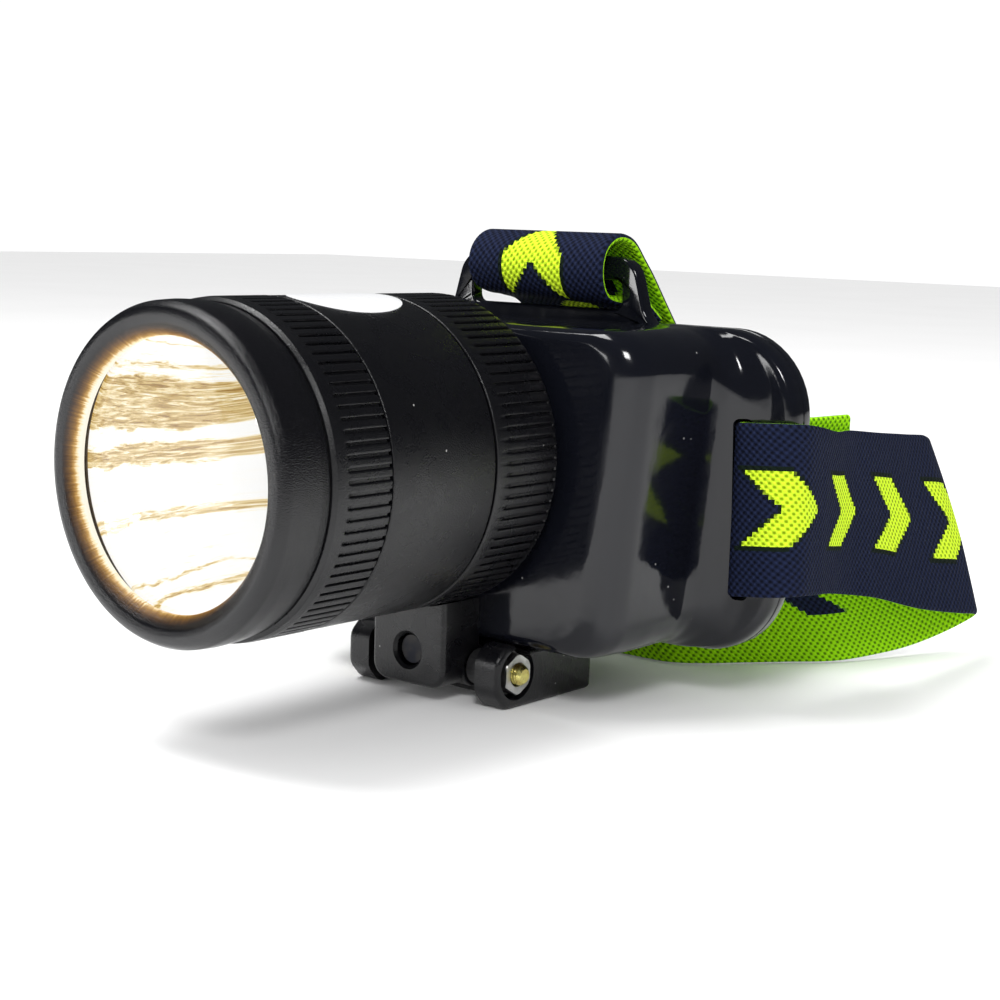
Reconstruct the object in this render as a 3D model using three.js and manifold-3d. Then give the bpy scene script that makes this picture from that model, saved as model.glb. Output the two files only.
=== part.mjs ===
// A head torch: a round lamp head that tilts on a clevis under a battery box, worn on an elastic
// headband with a crown strap. Millimetres, +Z up, the lamp shines towards -Y and +X is the wearer's
// left. The origin is the centre of the flat underside of the hinge base, on which the torch stands.
import * as THREE from "three";
import { mergeVertices } from "three/addons/utils/BufferGeometryUtils.js";
import Module from "manifold-3d";

const wasm = await Module();
wasm.setup();

// ---- driving dimensions -------------------------------------------------------------------------

const GAP = 0.3; // between touching pieces
const ROUND = 48; // sides of the large rings

// Lamp head, turned about an axis along Y at this height.
const AXIS_Z = 47.5;
const HEAD_R = 29;
const LIP_FRONT = -80;
const SEAM_FRONT = -69; // lip to knurled collar
const SEAM_COLLAR = -55.5; // collar to tube
const SEAM_CAP = -29.2; // tube to rear cap
const HEAD_REAR = -11.7;
const HEAD_LEAD_Z = 25.5;
const SINK_LEAD_Z = 33.5;
const OPENING_R = 22.8;
const REFLECTOR_TIP = -43.5;
const REFLECTOR_RIM = -72.6;
const REFLECTOR_RIM_R = 24.1;

// Tilt hinge, on an axis along X.
const PIVOT_Y = -9.3;
const PIVOT_Z = 6.5;
const LUG_HALF = 9;
const EAR_INNER = 13.5;
const EAR_OUTER = 19;
const BOLT_R = 1.95;
const BASE_TOP = 10.7;

// Battery box.
const BOX_FRONT = -9;
const BOX_BOTTOM = 11;
const BOX_TOP = 71.5;
const BOX_LEAD_Z = 22;
const WALL = 2.2;
const WING_FRONT = 19.5;
const COVER_SEAM = 23.2;
const COVER_REAR = 26.6;
const WING_HALF_TOP = 58;
const WING_HALF_BOTTOM = 55.5;
const WING_CORNER = 16;
const SLOT_INNER = 46.2; // the strap slot in each wing
const SLOT_OUTER = 50.2;
const SLOT_LOW = 20;
const SLOT_HIGH = 57;

// Rocker switch in the far side wall, leaning with one end pressed.
const ROCKER_X = -40.7;
const ROCKER_Z = 48.25;
const ROCKER_TIP = 8;

// Arch over the box for the crown strap.
const ARCH_REAR = 22.5;
const ARCH_TOP = 84;
const ARCH_SLOT_LOW = 73.8;
const ARCH_SLOT_HIGH = 79.4;
const ARCH_SLOT_HALF = 18.6;

// Elastic webbing.
const BAND_THICK = 1.5;
const BAND_WIDE = 33.2;
const CROWN_HALF = 16.75;

// ---- looks --------------------------------------------------------------------------------------

const look = (color, roughness, metalness = 0) =>
  new THREE.MeshStandardMaterial({ color, roughness, metalness });
const SATIN_BLACK = look(0x131315, 0.42);
const GLOSS_BLACK = look(0x0b0b0e, 0.12);
const RUBBER = look(0x1a1a1a, 0.85);
const CHROMED = look(0xf2f0ea, 0.05, 1);
const CLEAR = look(0xffffff, 0.02);
const ZINC = look(0xc9c9c4, 0.3, 1);
const YELLOW_ZINC = look(0xd8b64a, 0.3, 1);
const ALUMINIUM = look(0xb9bcbf, 0.4, 1);
const BOARD_GREEN = look(0x1f5a35, 0.5);
const EMITTER_YELLOW = look(0xf6e27a, 0.4);
const CELL_BLUE = look(0x2f5f9e, 0.35);
const NICKEL = look(0xd0d0cc, 0.25, 1);
const NAVY = look(0x16203a, 0.9);
const FOAM = look(0x202022, 0.95);
const SILVER_FILM = look(0xcfd2d4, 0.25, 0.6);
const RED_LENS = look(0xb01818, 0.2);
const NYLON = look(0xd9d6cc, 0.5);

// ---- solids -------------------------------------------------------------------------------------

// A closed geometry as a solid; a mirrored or reversed one is turned to face outwards.
function solid(geometry) {
  const bare = geometry.clone();
  bare.deleteAttribute("normal");
  bare.deleteAttribute("uv");
  const merged = mergeVertices(bare, 1e-4);
  const indices = new Uint32Array(merged.index.array);
  const build = (triVerts) =>
    new wasm.Manifold(
      new wasm.Mesh({
        numProp: 3,
        vertProperties: merged.attributes.position.array,
        triVerts,
      }),
    );
  const made = build(indices);
  return made.volume() > 0 ? made : build(indices.reverse());
}

function geometryOf(made) {
  const { vertProperties, triVerts } = made.getMesh();
  const geometry = new THREE.BufferGeometry();
  geometry.setAttribute("position", new THREE.BufferAttribute(vertProperties, 3));
  geometry.setIndex(new THREE.BufferAttribute(triVerts, 1));
  geometry.computeVertexNormals();
  return geometry;
}

const joined = (first, ...rest) => rest.reduce((sum, next) => sum.add(next), first);
const cut = (first, ...tools) => tools.reduce((left, tool) => left.subtract(tool), first);

// A box between two corners.
function block(x0, x1, y0, y1, z0, z1) {
  const geometry = new THREE.BoxGeometry(x1 - x0, y1 - y0, z1 - z0);
  geometry.translate((x0 + x1) / 2, (y0 + y1) / 2, (z0 + z1) / 2);
  return solid(geometry);
}

// A round bar along one axis, from low to high, centred on the other two.
function bar(axis, radius, low, high, a, b, sides = 24) {
  const geometry = new THREE.CylinderGeometry(radius, radius, high - low, sides);
  const middle = (low + high) / 2;
  if (axis === "x") geometry.rotateZ(Math.PI / 2).translate(middle, a, b);
  if (axis === "y") geometry.translate(a, middle, b);
  if (axis === "z") geometry.rotateX(Math.PI / 2).translate(a, b, middle);
  return solid(geometry);
}

// A body turned about the head's axis from a [radius, y] profile, which closes on itself or starts
// and ends on the axis.
function turned(profile, sides = ROUND) {
  const onAxis = profile[0][0] === 0;
  const closed = onAxis ? profile : [...profile, profile[0]];
  const points = closed.map(([r, y]) => new THREE.Vector2(r, y));
  return solid(new THREE.LatheGeometry(points, sides).translate(0, 0, AXIS_Z));
}

// An outline in X and Z, given thickness along Y.
function plateXZ(shape, yFront, yRear, curveSegments = 8) {
  const depth = yRear - yFront;
  const geometry = new THREE.ExtrudeGeometry(shape, { depth, bevelEnabled: false, curveSegments });
  return solid(geometry.rotateX(Math.PI / 2).translate(0, yRear, 0));
}

// An outline in Y and Z, given width along X.
function plateYZ(shape, xLow, xHigh, curveSegments = 8) {
  const depth = xHigh - xLow;
  const geometry = new THREE.ExtrudeGeometry(shape, { depth, bevelEnabled: false, curveSegments });
  const turn = new THREE.Matrix4().makeBasis(
    new THREE.Vector3(0, 1, 0),
    new THREE.Vector3(0, 0, 1),
    new THREE.Vector3(1, 0, 0),
  );
  return solid(geometry.applyMatrix4(turn).translate(xLow, 0, 0));
}

const outline = (points) => new THREE.Shape(points.map(([a, b]) => new THREE.Vector2(a, b)));

// Closed solid through rings of equal length, capped by fans at both ends.
function loft(rings) {
  const size = rings[0].length;
  const positions = rings.flat(2);
  const indices = [];
  for (let k = 0; k + 1 < rings.length; k++) {
    for (let i = 0; i < size; i++) {
      const a = k * size + i;
      const b = k * size + ((i + 1) % size);
      indices.push(a, b, b + size, a, b + size, a + size);
    }
  }
  const last = (rings.length - 1) * size;
  for (let i = 1; i + 1 < size; i++) {
    indices.push(0, i + 1, i, last, last + i, last + i + 1);
  }
  const geometry = new THREE.BufferGeometry();
  geometry.setAttribute("position", new THREE.Float32BufferAttribute(positions, 3));
  geometry.setIndex(indices);
  return solid(geometry);
}

// A ring in X and Z at one Y: sides lean from halfTop to halfBottom, corners are quarter rounds.
function boxRing(y, halfTop, halfBottom, low, high, corner, steps = 6) {
  const ring = [];
  const corners = [
    [halfTop, high, 0],
    [-halfTop, high, 1],
    [-halfBottom, low, 2],
    [halfBottom, low, 3],
  ];
  for (const [x, z, quarter] of corners) {
    const cx = x - Math.sign(x) * corner;
    const cz = quarter < 2 ? z - corner : z + corner;
    for (let i = 0; i <= steps; i++) {
      const turn = ((quarter + i / steps) * Math.PI) / 2;
      ring.push([cx + corner * Math.cos(turn), y, cz + corner * Math.sin(turn)]);
    }
  }
  return ring;
}

// A strip of webbing between two rails, each a smooth curve through its points.
function webbing(lowRail, highRail, steps) {
  const curve = (rail) => new THREE.CatmullRomCurve3(rail.map((p) => new THREE.Vector3(...p)));
  const low = curve(lowRail);
  const high = curve(highRail);
  const rings = [];
  for (let i = 0; i <= steps; i++) {
    const t = i / steps;
    const across = high.getPoint(t).sub(low.getPoint(t));
    const along = low.getTangent(t).add(high.getTangent(t));
    const side = across.cross(along).normalize().multiplyScalar(BAND_THICK / 2);
    const corners = [
      low.getPoint(t).add(side),
      high.getPoint(t).add(side),
      high.getPoint(t).sub(side),
      low.getPoint(t).sub(side),
    ];
    rings.push(corners.map((p) => [p.x, p.y, p.z]));
  }
  return loft(rings);
}

// A machine screw: a round head and a plain shank along one axis, the head at the far end.
function screw(axis, tip, seat, top, a, b, shankR, headR) {
  return joined(bar(axis, shankR, tip, seat, a, b, 12), bar(axis, headR, seat, top, a, b, 20));
}

// A round section carried along a smooth path.
function wire(points, radius, steps) {
  const path = new THREE.CatmullRomCurve3(points.map((p) => new THREE.Vector3(...p)));
  const section = new THREE.Shape().absarc(0, 0, radius, 0, Math.PI * 2);
  return solid(new THREE.ExtrudeGeometry(section, { steps, extrudePath: path, curveSegments: 4 }));
}

// ---- lamp head ----------------------------------------------------------------------------------

function frontLip() {
  return turned([
    [OPENING_R, -77.4],
    [23.8, -78.4],
    [25, -79.5],
    [26.3, LIP_FRONT],
    [27.6, -79.6],
    [28.4, -78.2],
    [28.6, -75],
    [28.2, -71],
    [27.6, SEAM_FRONT - 0.15],
    [26.2, SEAM_FRONT - 0.15],
    [26.2, -76.6],
    [OPENING_R, -76.9],
  ]);
}

function knurledCollar() {
  return turned([
    [27.5, SEAM_FRONT + 0.15],
    [HEAD_R, -67.4],
    [HEAD_R, SEAM_COLLAR - 0.15],
    [26.2, SEAM_COLLAR - 0.15],
    [26.2, SEAM_FRONT + 0.15],
  ]);
}

function lensDisc() {
  return bar("y", 25.6, -76.3, -74.3, 0, AXIS_Z, ROUND);
}

function lensGasket() {
  return turned([
    [24.5, -74],
    [25.7, -74],
    [25.7, -73],
    [24.5, -73],
  ], 32);
}

// A paraboloid bowl, open at both ends, with a flange at its rim and a neck round the emitter.
function reflector() {
  const steps = 7;
  const inner = [];
  const outer = [];
  const depthOfRim = REFLECTOR_TIP - REFLECTOR_RIM;
  for (let i = 0; i <= steps; i++) {
    const r = 4.6 + ((REFLECTOR_RIM_R - 4.6) * i) / steps;
    const y = REFLECTOR_TIP - depthOfRim * (r / REFLECTOR_RIM_R) ** 2;
    inner.push([r, y]);
    outer.unshift([r + 0.9, y + 0.9]);
  }
  const flange = [
    [25.5, REFLECTOR_RIM],
    [25.5, REFLECTOR_RIM + 1],
  ];
  const neck = [
    [5.5, -41],
    [4.6, -41],
  ];
  return turned([...inner, ...flange, ...outer.slice(1), ...neck], 32);
}

function headTube() {
  return turned([
    [24.4, -67.6],
    [25.7, -67.6],
    [25.7, SEAM_COLLAR + 0.15],
    [HEAD_R, SEAM_COLLAR + 0.15],
    [HEAD_R, SEAM_CAP - 0.25],
    [26, SEAM_CAP - 0.25],
    [26, -23],
    [24.4, -23],
  ]);
}

function rearCap() {
  const cup = turned([
    [0, HEAD_REAR],
    [HEAD_R - 1, HEAD_REAR],
    [HEAD_R, HEAD_REAR - 1],
    [HEAD_R, SEAM_CAP + 0.25],
    [26.4, SEAM_CAP + 0.25],
    [26.4, HEAD_REAR - 2.4],
    [0, HEAD_REAR - 2.4],
  ]);
  const leadHole = bar("y", 2.6, HEAD_REAR - 3, HEAD_REAR + 1, 0, HEAD_LEAD_Z);
  return cut(cup, leadHole);
}

function heatSink() {
  const disc = bar("y", 23.8, -38.6, -35.6, 0, AXIS_Z, 48);
  const stem = bar("y", 9, -35.7, -30, 0, AXIS_Z, 32);
  const leadHole = bar("y", 2.2, -39, -29, 0, SINK_LEAD_Z);
  return cut(joined(disc, stem), leadHole);
}

const emitterBoard = () => bar("y", 10, -40.6, -39, 0, AXIS_Z, 32);

function emitter() {
  const base = block(-2.5, 2.5, -42, -40.9, AXIS_Z - 2.5, AXIS_Z + 2.5);
  const dome = new THREE.SphereGeometry(1.9, 16, 8).translate(0, -42.9, AXIS_Z);
  return joined(base, solid(dome));
}

// The lug under the rear cap: a flat front, a hollow top that fits the cap, a round end at the pivot.
function tiltLug() {
  const shape = outline([
    [-19, 3.3],
    [-19, 21],
    [-10.3, 21],
    [-10.3, 10.6],
  ]);
  shape.absarc(PIVOT_Y, PIVOT_Z, 4, Math.PI / 2, -Math.PI / 2, true);
  const body = plateYZ(shape, -LUG_HALF, LUG_HALF);
  const cap = bar("y", HEAD_R + GAP, -40, HEAD_REAR + 0.01, 0, AXIS_Z, ROUND);
  const behind = block(-20, 20, HEAD_REAR, 0, 19.5, 40);
  const pinBore = bar("x", BOLT_R + 0.35, -20, 20, PIVOT_Y, PIVOT_Z);
  const recess = bar("y", 3.1, -20, -15.5, 0, 9.5);
  const bore = bar("z", 1.7, 8, 22, 0, -16.5, 12);
  return cut(body, cap, behind, pinBore, recess, bore);
}

const lugScrew = () => bar("y", 2.7, -17.6, -15.8, 0, 9.5, 20);

// A flat oval of film lying on the top of the tube.
function ratingLabel() {
  const oval = new THREE.Shape().absellipse(0, 0, 7.6, 12.2, 0, Math.PI * 2);
  const depth = 40;
  const column = new THREE.ExtrudeGeometry(oval, { depth, bevelEnabled: false, curveSegments: 10 });
  const skin = turned([
    [HEAD_R + 0.02, -56],
    [HEAD_R + 0.2, -56],
    [HEAD_R + 0.2, -28],
    [HEAD_R + 0.02, -28],
  ], 96);
  return solid(column.translate(0, -42.4, AXIS_Z)).intersect(skin);
}

const grommet = (y0, y1, z, x = 0) =>
  cut(bar("y", 2.3, y0, y1, x, z, 20), bar("y", 1.45, y0 - 1, y1 + 1, x, z, 16));

// ---- tilt hinge ---------------------------------------------------------------------------------

// Two ears joined by a web behind the lug, flat underneath.
function hingeBase() {
  const profile = outline([
    [14, 0],
    [14, BASE_TOP],
    [-9.4, BASE_TOP],
    [-9.6, 11.8],
    [-12.5, 11.8],
    [-14.6, 10],
    [-15.2, 6.5],
    [-14.4, 2.6],
    [-12, 0],
  ]);
  const ears = plateYZ(profile, -EAR_OUTER, EAR_OUTER);
  const mouth = block(-EAR_INNER, EAR_INNER, -20, -4.6, -1, 20);
  const bore = bar("x", BOLT_R + 0.25, -30, 30, PIVOT_Y, PIVOT_Z);
  const nutSeat = bar("x", 4.9, 15.3, 30, PIVOT_Y, PIVOT_Z, 28);
  const headSeat = bar("x", 4.4, -30, -15.6, PIVOT_Y, PIVOT_Z, 28);
  const tools = [mouth, bore, nutSeat, headSeat];
  for (const x of [-8, 8]) {
    tools.push(bar("z", 1.5, -1, 20, x, 7, 16), bar("z", 3, -1, 2.9, x, 7, 20));
  }
  return cut(ears, ...tools);
}

function hingeBolt() {
  const shank = bar("x", BOLT_R, -16.4, 20.2, PIVOT_Y, PIVOT_Z);
  const end = new THREE.CylinderGeometry(1.3, BOLT_R, 0.6, 24).rotateZ(-Math.PI / 2);
  const head = bar("x", 3.6, -18.8, -16.3, PIVOT_Y, PIVOT_Z, 24);
  const drive = bar("x", 1.6, -20, -17.4, PIVOT_Y, PIVOT_Z, 6);
  return cut(joined(shank, solid(end.translate(20.49, PIVOT_Y, PIVOT_Z)), head), drive);
}

const ringX = (outerR, innerR, x0, x1, sides) =>
  cut(
    bar("x", outerR, x0, x1, PIVOT_Y, PIVOT_Z, sides),
    bar("x", innerR, x0 - 1, x1 + 1, PIVOT_Y, PIVOT_Z),
  );

// ---- battery box --------------------------------------------------------------------------------

const wingRing = (y, inset) =>
  boxRing(
    y,
    WING_HALF_TOP - inset,
    WING_HALF_BOTTOM - inset,
    BOX_BOTTOM - 0.8 + inset,
    BOX_TOP - inset,
    WING_CORNER - inset,
  );

// Stations from the front face to the wings: [y, halfTop, halfBottom, low, high, corner].
const SHELL_STATIONS = [
  [BOX_FRONT, 35, 31.5, 13.5, 69.5, 7],
  [-8.2, 38.2, 34.6, 12.1, 70.7, 7.5],
  [-6, 41, 37.4, 11.2, 71.4, 8],
  [-2.5, 43, 39.2, BOX_BOTTOM, BOX_TOP, 8],
  [4, 43.8, 39.8, BOX_BOTTOM, BOX_TOP, 8],
  [13, 44.4, 40.4, BOX_BOTTOM, BOX_TOP, 9],
  [16, 45.6, 42, BOX_BOTTOM, BOX_TOP, 11],
  [18.4, 49, 46, 10.6, BOX_TOP, 13.5],
];

function archPlate() {
  const shape = new THREE.Shape();
  shape.moveTo(-29, 70);
  shape.lineTo(29, 70);
  shape.quadraticCurveTo(25.6, 71.6, 24.4, 74.4);
  shape.lineTo(22, 80);
  shape.quadraticCurveTo(20.4, ARCH_TOP, 16.5, ARCH_TOP);
  shape.lineTo(-16.5, ARCH_TOP);
  shape.quadraticCurveTo(-20.4, ARCH_TOP, -22, 80);
  shape.lineTo(-24.4, 74.4);
  shape.quadraticCurveTo(-25.6, 71.6, -29, 70);
  const slot = block(-ARCH_SLOT_HALF, ARCH_SLOT_HALF, 0, 40, ARCH_SLOT_LOW, ARCH_SLOT_HIGH);
  return cut(plateXZ(shape, WING_FRONT, ARCH_REAR, 4), slot);
}

const wingSlots = () =>
  [-1, 1].map((side) => {
    const x = [side * SLOT_INNER, side * SLOT_OUTER].sort((a, b) => a - b);
    return block(x[0], x[1], 10, 40, SLOT_LOW, SLOT_HIGH);
  });

const COVER_SCREWS = [
  [-32.5, 19.4],
  [32.5, 19.4],
  [-36, 63.5],
  [36, 63.5],
];

function frontShell() {
  const rings = SHELL_STATIONS.map((station) => boxRing(...station));
  rings.push(wingRing(WING_FRONT + 0.3, 0.8), wingRing(WING_FRONT + 1.4, 0), wingRing(COVER_SEAM, 0));
  const outer = joined(loft(rings), archPlate());
  const cavity = loft([
    boxRing(BOX_FRONT + WALL, 37.5, 34, 15, 68, 5),
    boxRing(-4, 40.6, 36.8, BOX_BOTTOM + WALL, BOX_TOP - WALL, 6),
    boxRing(COVER_SEAM + 1, 41.6, 37.8, BOX_BOTTOM + WALL, BOX_TOP - WALL, 6),
  ]);
  let shell = cut(outer, cavity, ...wingSlots());
  for (const [x, z] of COVER_SCREWS) {
    const post = bar("y", 3, BOX_FRONT + 1.6, 22.8, x, z, 16);
    shell = shell.add(post.intersect(loft(rings)));
  }
  const tools = COVER_SCREWS.map(([x, z]) => bar("y", 1.4, 8, 30, x, z, 12));
  const switchWindow = block(-50, -38, 1, 12, 41.5, 55);
  const socketWindow = block(-50, -36, 1.5, 11.5, 23.5, 31.5);
  const indicatorHole = bar("x", 1.7, -50, -36, 6.5, 62, 16);
  const leadHole = bar("y", 2.6, BOX_FRONT - 1, BOX_FRONT + 4, 0, BOX_LEAD_Z);
  tools.push(switchWindow, socketWindow, indicatorHole, leadHole);
  for (const x of [-8, 8]) tools.push(bar("z", 1.4, 8, 20, x, 7, 12));
  return cut(shell, ...tools);
}

function backCover() {
  const plate = loft([
    wingRing(COVER_SEAM + GAP, 0),
    wingRing(COVER_REAR - 1.1, 0),
    wingRing(COVER_REAR - 0.3, 0.5),
    wingRing(COVER_REAR, 1.5),
  ]);
  const tools = wingSlots();
  for (const [x, z] of COVER_SCREWS) {
    tools.push(bar("y", 1.6, 20, 30, x, z, 12), bar("y", 3.1, 25, 30, x, z, 20));
  }
  return cut(plate, ...tools);
}

// A cord of rubber just inside the mouth of the shell, pressed by the cover.
function coverSeal() {
  const ring = (y, inset) => boxRing(y, 41 - inset, 37.3 - inset, 13.7 + inset, 68.8 - inset, 5.5);
  return cut(loft([ring(21.4, 0), ring(23, 0)]), loft([ring(20, 1), ring(24, 1)]));
}

function cradle() {
  const floor = block(-34, 36, 17.4, 18.8, 23, 59);
  const ends = [block(-34, -32.6, -2, 17.5, 24, 58), block(34.6, 36, -2, 17.5, 24, 58)];
  return joined(floor, ...ends);
}

const cell = (z) =>
  joined(bar("x", 9, -31.4, 32.4, 8, z, 32), bar("x", 3, 32.3, 33.4, 8, z, 16));

const contactTab = (x0, x1) => block(x0, x1, 4, 12, 28, 54);

function switchBody() {
  const shroud = block(-45.1, -43.8, -0.5, 13, 40, 56);
  const inner = block(-44, -35, 1.4, 11.6, 41.9, 54.4);
  const well = block(-50, -37, 2.6, 10.4, ROCKER_Z - 5.6, ROCKER_Z + 5.6);
  return cut(joined(shroud, inner), well);
}

// A rocker with a shallow V on its outer face, tipped about an axis along Y.
function rocker() {
  const shape = outline([
    [2, -2],
    [2, 2],
    [-1.6, 4.6],
    [-5.2, 4.6],
    [-4.2, 0],
    [-5.2, -4.6],
    [-1.6, -4.6],
  ]);
  return plateXZ(shape, 2.9, 10.1).rotate([0, ROCKER_TIP, 0]).translate([ROCKER_X, 0, ROCKER_Z]);
}

function chargeSocket() {
  const shell = block(-41, -35, 1.8, 11.2, 23.8, 31.2);
  return cut(shell, block(-50, -36, 3, 10, 25.4, 29.6));
}

const portCover = () =>
  joined(block(-43.2, -41.7, 0.6, 12.4, 22.6, 32.4), block(-41.8, -40.4, 3.4, 9.6, 25.8, 29.2));

function indicator() {
  const stem = bar("x", 1.4, -43.4, -37, 6.5, 62, 16);
  const dome = new THREE.SphereGeometry(1.4, 16, 8).translate(-43.4, 6.5, 62);
  return joined(stem, solid(dome));
}

function foreheadPad() {
  const ring = (y, inset) => boxRing(y, 30 - inset, 30 - inset, 16 + inset, 66 - inset, 8 - inset);
  return loft([ring(27, 0), ring(31.5, 0), ring(33.2, 1.2), ring(34, 3)]);
}

// ---- headband and crown strap -------------------------------------------------------------------

// Rails of the near strap: round the wing's bar, back, round a leaning fold and forward on the floor.
const NEAR_WRAP_LOW = [
  [51.2, 52, 21.4],
  [49.2, 38, 21.4],
  [48.3, 28, 21.8],
  [48.2, 21, 22],
  [49.2, 17.9, 22.2],
  [53.5, 17.4, 22.8],
  [58, 18, 23.3],
  [59.7, 20.6, 23.4],
  [59.3, 28, 22.6],
  [56.8, 38, 21.2],
];
const NEAR_WRAP_HIGH = NEAR_WRAP_LOW.map(([x, y, z], i) => {
  const narrowed = 0.25 * Math.max(0, i - 2);
  return [x, y, z + BAND_WIDE - 0.1 - narrowed];
});
const NEAR_RUN_LOW = [
  [56.6, 38.8, 21],
  [55.2, 47, 19.6],
  [55.6, 59, 17.4],
  [57.2, 76, 13],
  [58.6, 92, 10],
];
const NEAR_RUN_HIGH = [
  [56.6, 38.8, 52.4],
  [54.4, 47, 52],
  [52.6, 62, 50.4],
  [50.6, 78, 48.8],
  [49.2, 89, 47.6],
];
const NEAR_FOLD_LOW = [
  [58.7, 92.8, 9.8],
  [58.8, 99, 8.9],
  [57, 102.6, 7.6],
  [54, 98, 5],
  [50, 88, 2.3],
];
const NEAR_FOLD_HIGH = [
  [49, 89.8, 47.5],
  [48, 92.4, 46.4],
  [46, 91.6, 43.6],
  [43.4, 86.6, 39.4],
  [40.6, 79.6, 36],
];
const NEAR_RETURN_LOW = [
  [49.7, 87.2, 2.1],
  [46, 78, 1],
  [42, 69.5, 0.4],
  [35.4, 61.6, 0.3],
  [28.4, 53, 0.3],
  [23.2, 47, 0.3],
];
const NEAR_RETURN_HIGH = [
  [40.3, 79, 35.8],
  [38.4, 72, 34.6],
  [36, 65.6, 34],
  [31, 58.6, 33.7],
  [26.4, 51.6, 33.6],
  [22.6, 46.6, 33.6],
];
const REAR_LOW = [
  [21.8, 45.1, 0.3],
  [17.6, 42.7, 0.3],
  [11, 42.2, 0.3],
  [-11, 42.2, 0.3],
  [-17.6, 42.7, 0.3],
  [-21.8, 45.1, 0.3],
];
const raised = (rail) => rail.map(([x, y, z]) => [x, y, z + BAND_WIDE]);
const FAR_RETURN_LOW = [
  [-22.4, 45.8, 0.3],
  [-28, 53.4, 0.3],
  [-34, 65, 1.4],
  [-38.6, 75.6, 4.4],
];
const FAR_FOLD_LOW = [
  [-38.9, 76.4, 4.7],
  [-42.4, 83.6, 8],
  [-47.8, 86.4, 13],
  [-52.4, 82.8, 18],
  [-53.5, 76.8, 20.6],
];
const FAR_RUN_LOW = [
  [-53.6, 76, 20.8],
  [-54.28, 68, 21.3],
  [-55.28, 58, 21.3],
  [-56.28, 48, 21.3],
  [-57.2, 38.8, 21.3],
];
const FAR_WRAP_LOW = [...NEAR_WRAP_LOW.slice(0, -1), [57.3, 38, 21.4]].map(([x, y, z]) => [-x, y, z]);

// The crown strap in Y and Z: a loop round the arch's bar, then back and down to the rear of the band.
const CROWN_LOOP = [
  [34.4, 71.6],
  [29, 75],
  [24, 75.4],
  [20, 75.2],
  [16, 76.6],
  [14.2, 80.6],
  [15.2, 85],
  [19, 87.6],
  [23.6, 87],
  [28.2, 83],
];
const CROWN_RUN = [
  [28.7, 82.5],
  [35, 75.6],
  [43, 66],
  [50.5, 54],
  [55.4, 40],
  [56.4, 26],
];
const CROWN_END = [
  [56.3, 25.2],
  [54.6, 13],
  [50.6, 7],
  [46.8, 10],
  [45.4, 18],
  [45, 30],
];
const crownRail = (points, x) => points.map(([y, z]) => [x, y, z]);
const crownStrap = (points, steps) =>
  webbing(crownRail(points, -CROWN_HALF), crownRail(points, CROWN_HALF), steps);

// A three-bar slider round a strap: side rails past its edges, end bars outside, middle bar inside.
function slider(halfWidth, halfLength) {
  const rails = [-1, 1].map((side) => {
    const x = [side * (halfWidth + 0.6), side * (halfWidth + 3.2)].sort((a, b) => a - b);
    return block(x[0], x[1], -halfLength, halfLength, -2.6, 2.6);
  });
  const reach = halfWidth + 1;
  const bars = [
    block(-reach, reach, -halfLength, -halfLength + 3, 1.1, 2.6),
    block(-reach, reach, halfLength - 3, halfLength, 1.1, 2.6),
    block(-reach, reach, -1.6, 1.6, -2.6, -1.1),
  ];
  return joined(...rails, ...bars);
}

// ---- assembly -----------------------------------------------------------------------------------

const torch = new THREE.Group();

function add(name, made, material, parent = torch) {
  const mesh = new THREE.Mesh(geometryOf(made), material);
  mesh.name = name;
  parent.add(mesh);
  return mesh;
}

function addHead() {
  const head = new THREE.Group();
  torch.add(head);
  add("front_lip", frontLip(), SATIN_BLACK, head);
  add("knurled_collar", knurledCollar(), SATIN_BLACK, head);
  add("lens", lensDisc(), CLEAR, head);
  add("lens_gasket", lensGasket(), RUBBER, head);
  add("reflector", reflector(), CHROMED, head);
  add("head_tube", headTube(), SATIN_BLACK, head);
  add("rear_cap", rearCap(), SATIN_BLACK, head);
  add("heat_sink", heatSink(), ALUMINIUM, head);
  add("emitter_board", emitterBoard(), ALUMINIUM, head);
  add("light_emitter", emitter(), EMITTER_YELLOW, head);
  add("tilt_lug", tiltLug(), SATIN_BLACK, head);
  add("lug_screw", lugScrew(), ZINC, head);
  add("rating_label", ratingLabel(), SILVER_FILM, head);
  add("head_grommet", grommet(-14.2, -11.5, HEAD_LEAD_Z), RUBBER, head);
  const lead = [
    [0, -11.9, HEAD_LEAD_Z],
    [0, -16, 25.6],
    [0, -23, 29],
    [0, -30, 33],
    [0, -38.2, SINK_LEAD_Z],
  ];
  add("head_lead", wire(lead, 1.1, 16), RUBBER, head);
}

function addHinge() {
  add("hinge_base", hingeBase(), SATIN_BLACK);
  add("hinge_bolt", hingeBolt(), YELLOW_ZINC);
  add("hinge_washer", ringX(4.4, 2.25, 15.6, 16.3, 28), ZINC);
  add("hinge_nut", ringX(4.05, 2.25, 16.6, 19.2, 6), ZINC);
  add("hinge_spacer_left", ringX(3.4, 2.3, LUG_HALF + GAP, EAR_INNER - GAP, 20), NYLON);
  add("hinge_spacer_right", ringX(3.4, 2.3, -EAR_INNER + GAP, -LUG_HALF - GAP, 20), NYLON);
  for (const [name, x] of [["base_screw_left", 8], ["base_screw_right", -8]]) {
    add(name, joined(bar("z", 1.1, 2.4, 14, x, 7, 12), bar("z", 2.6, 0.8, 2.6, x, 7, 20)), ZINC);
  }
}

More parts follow.
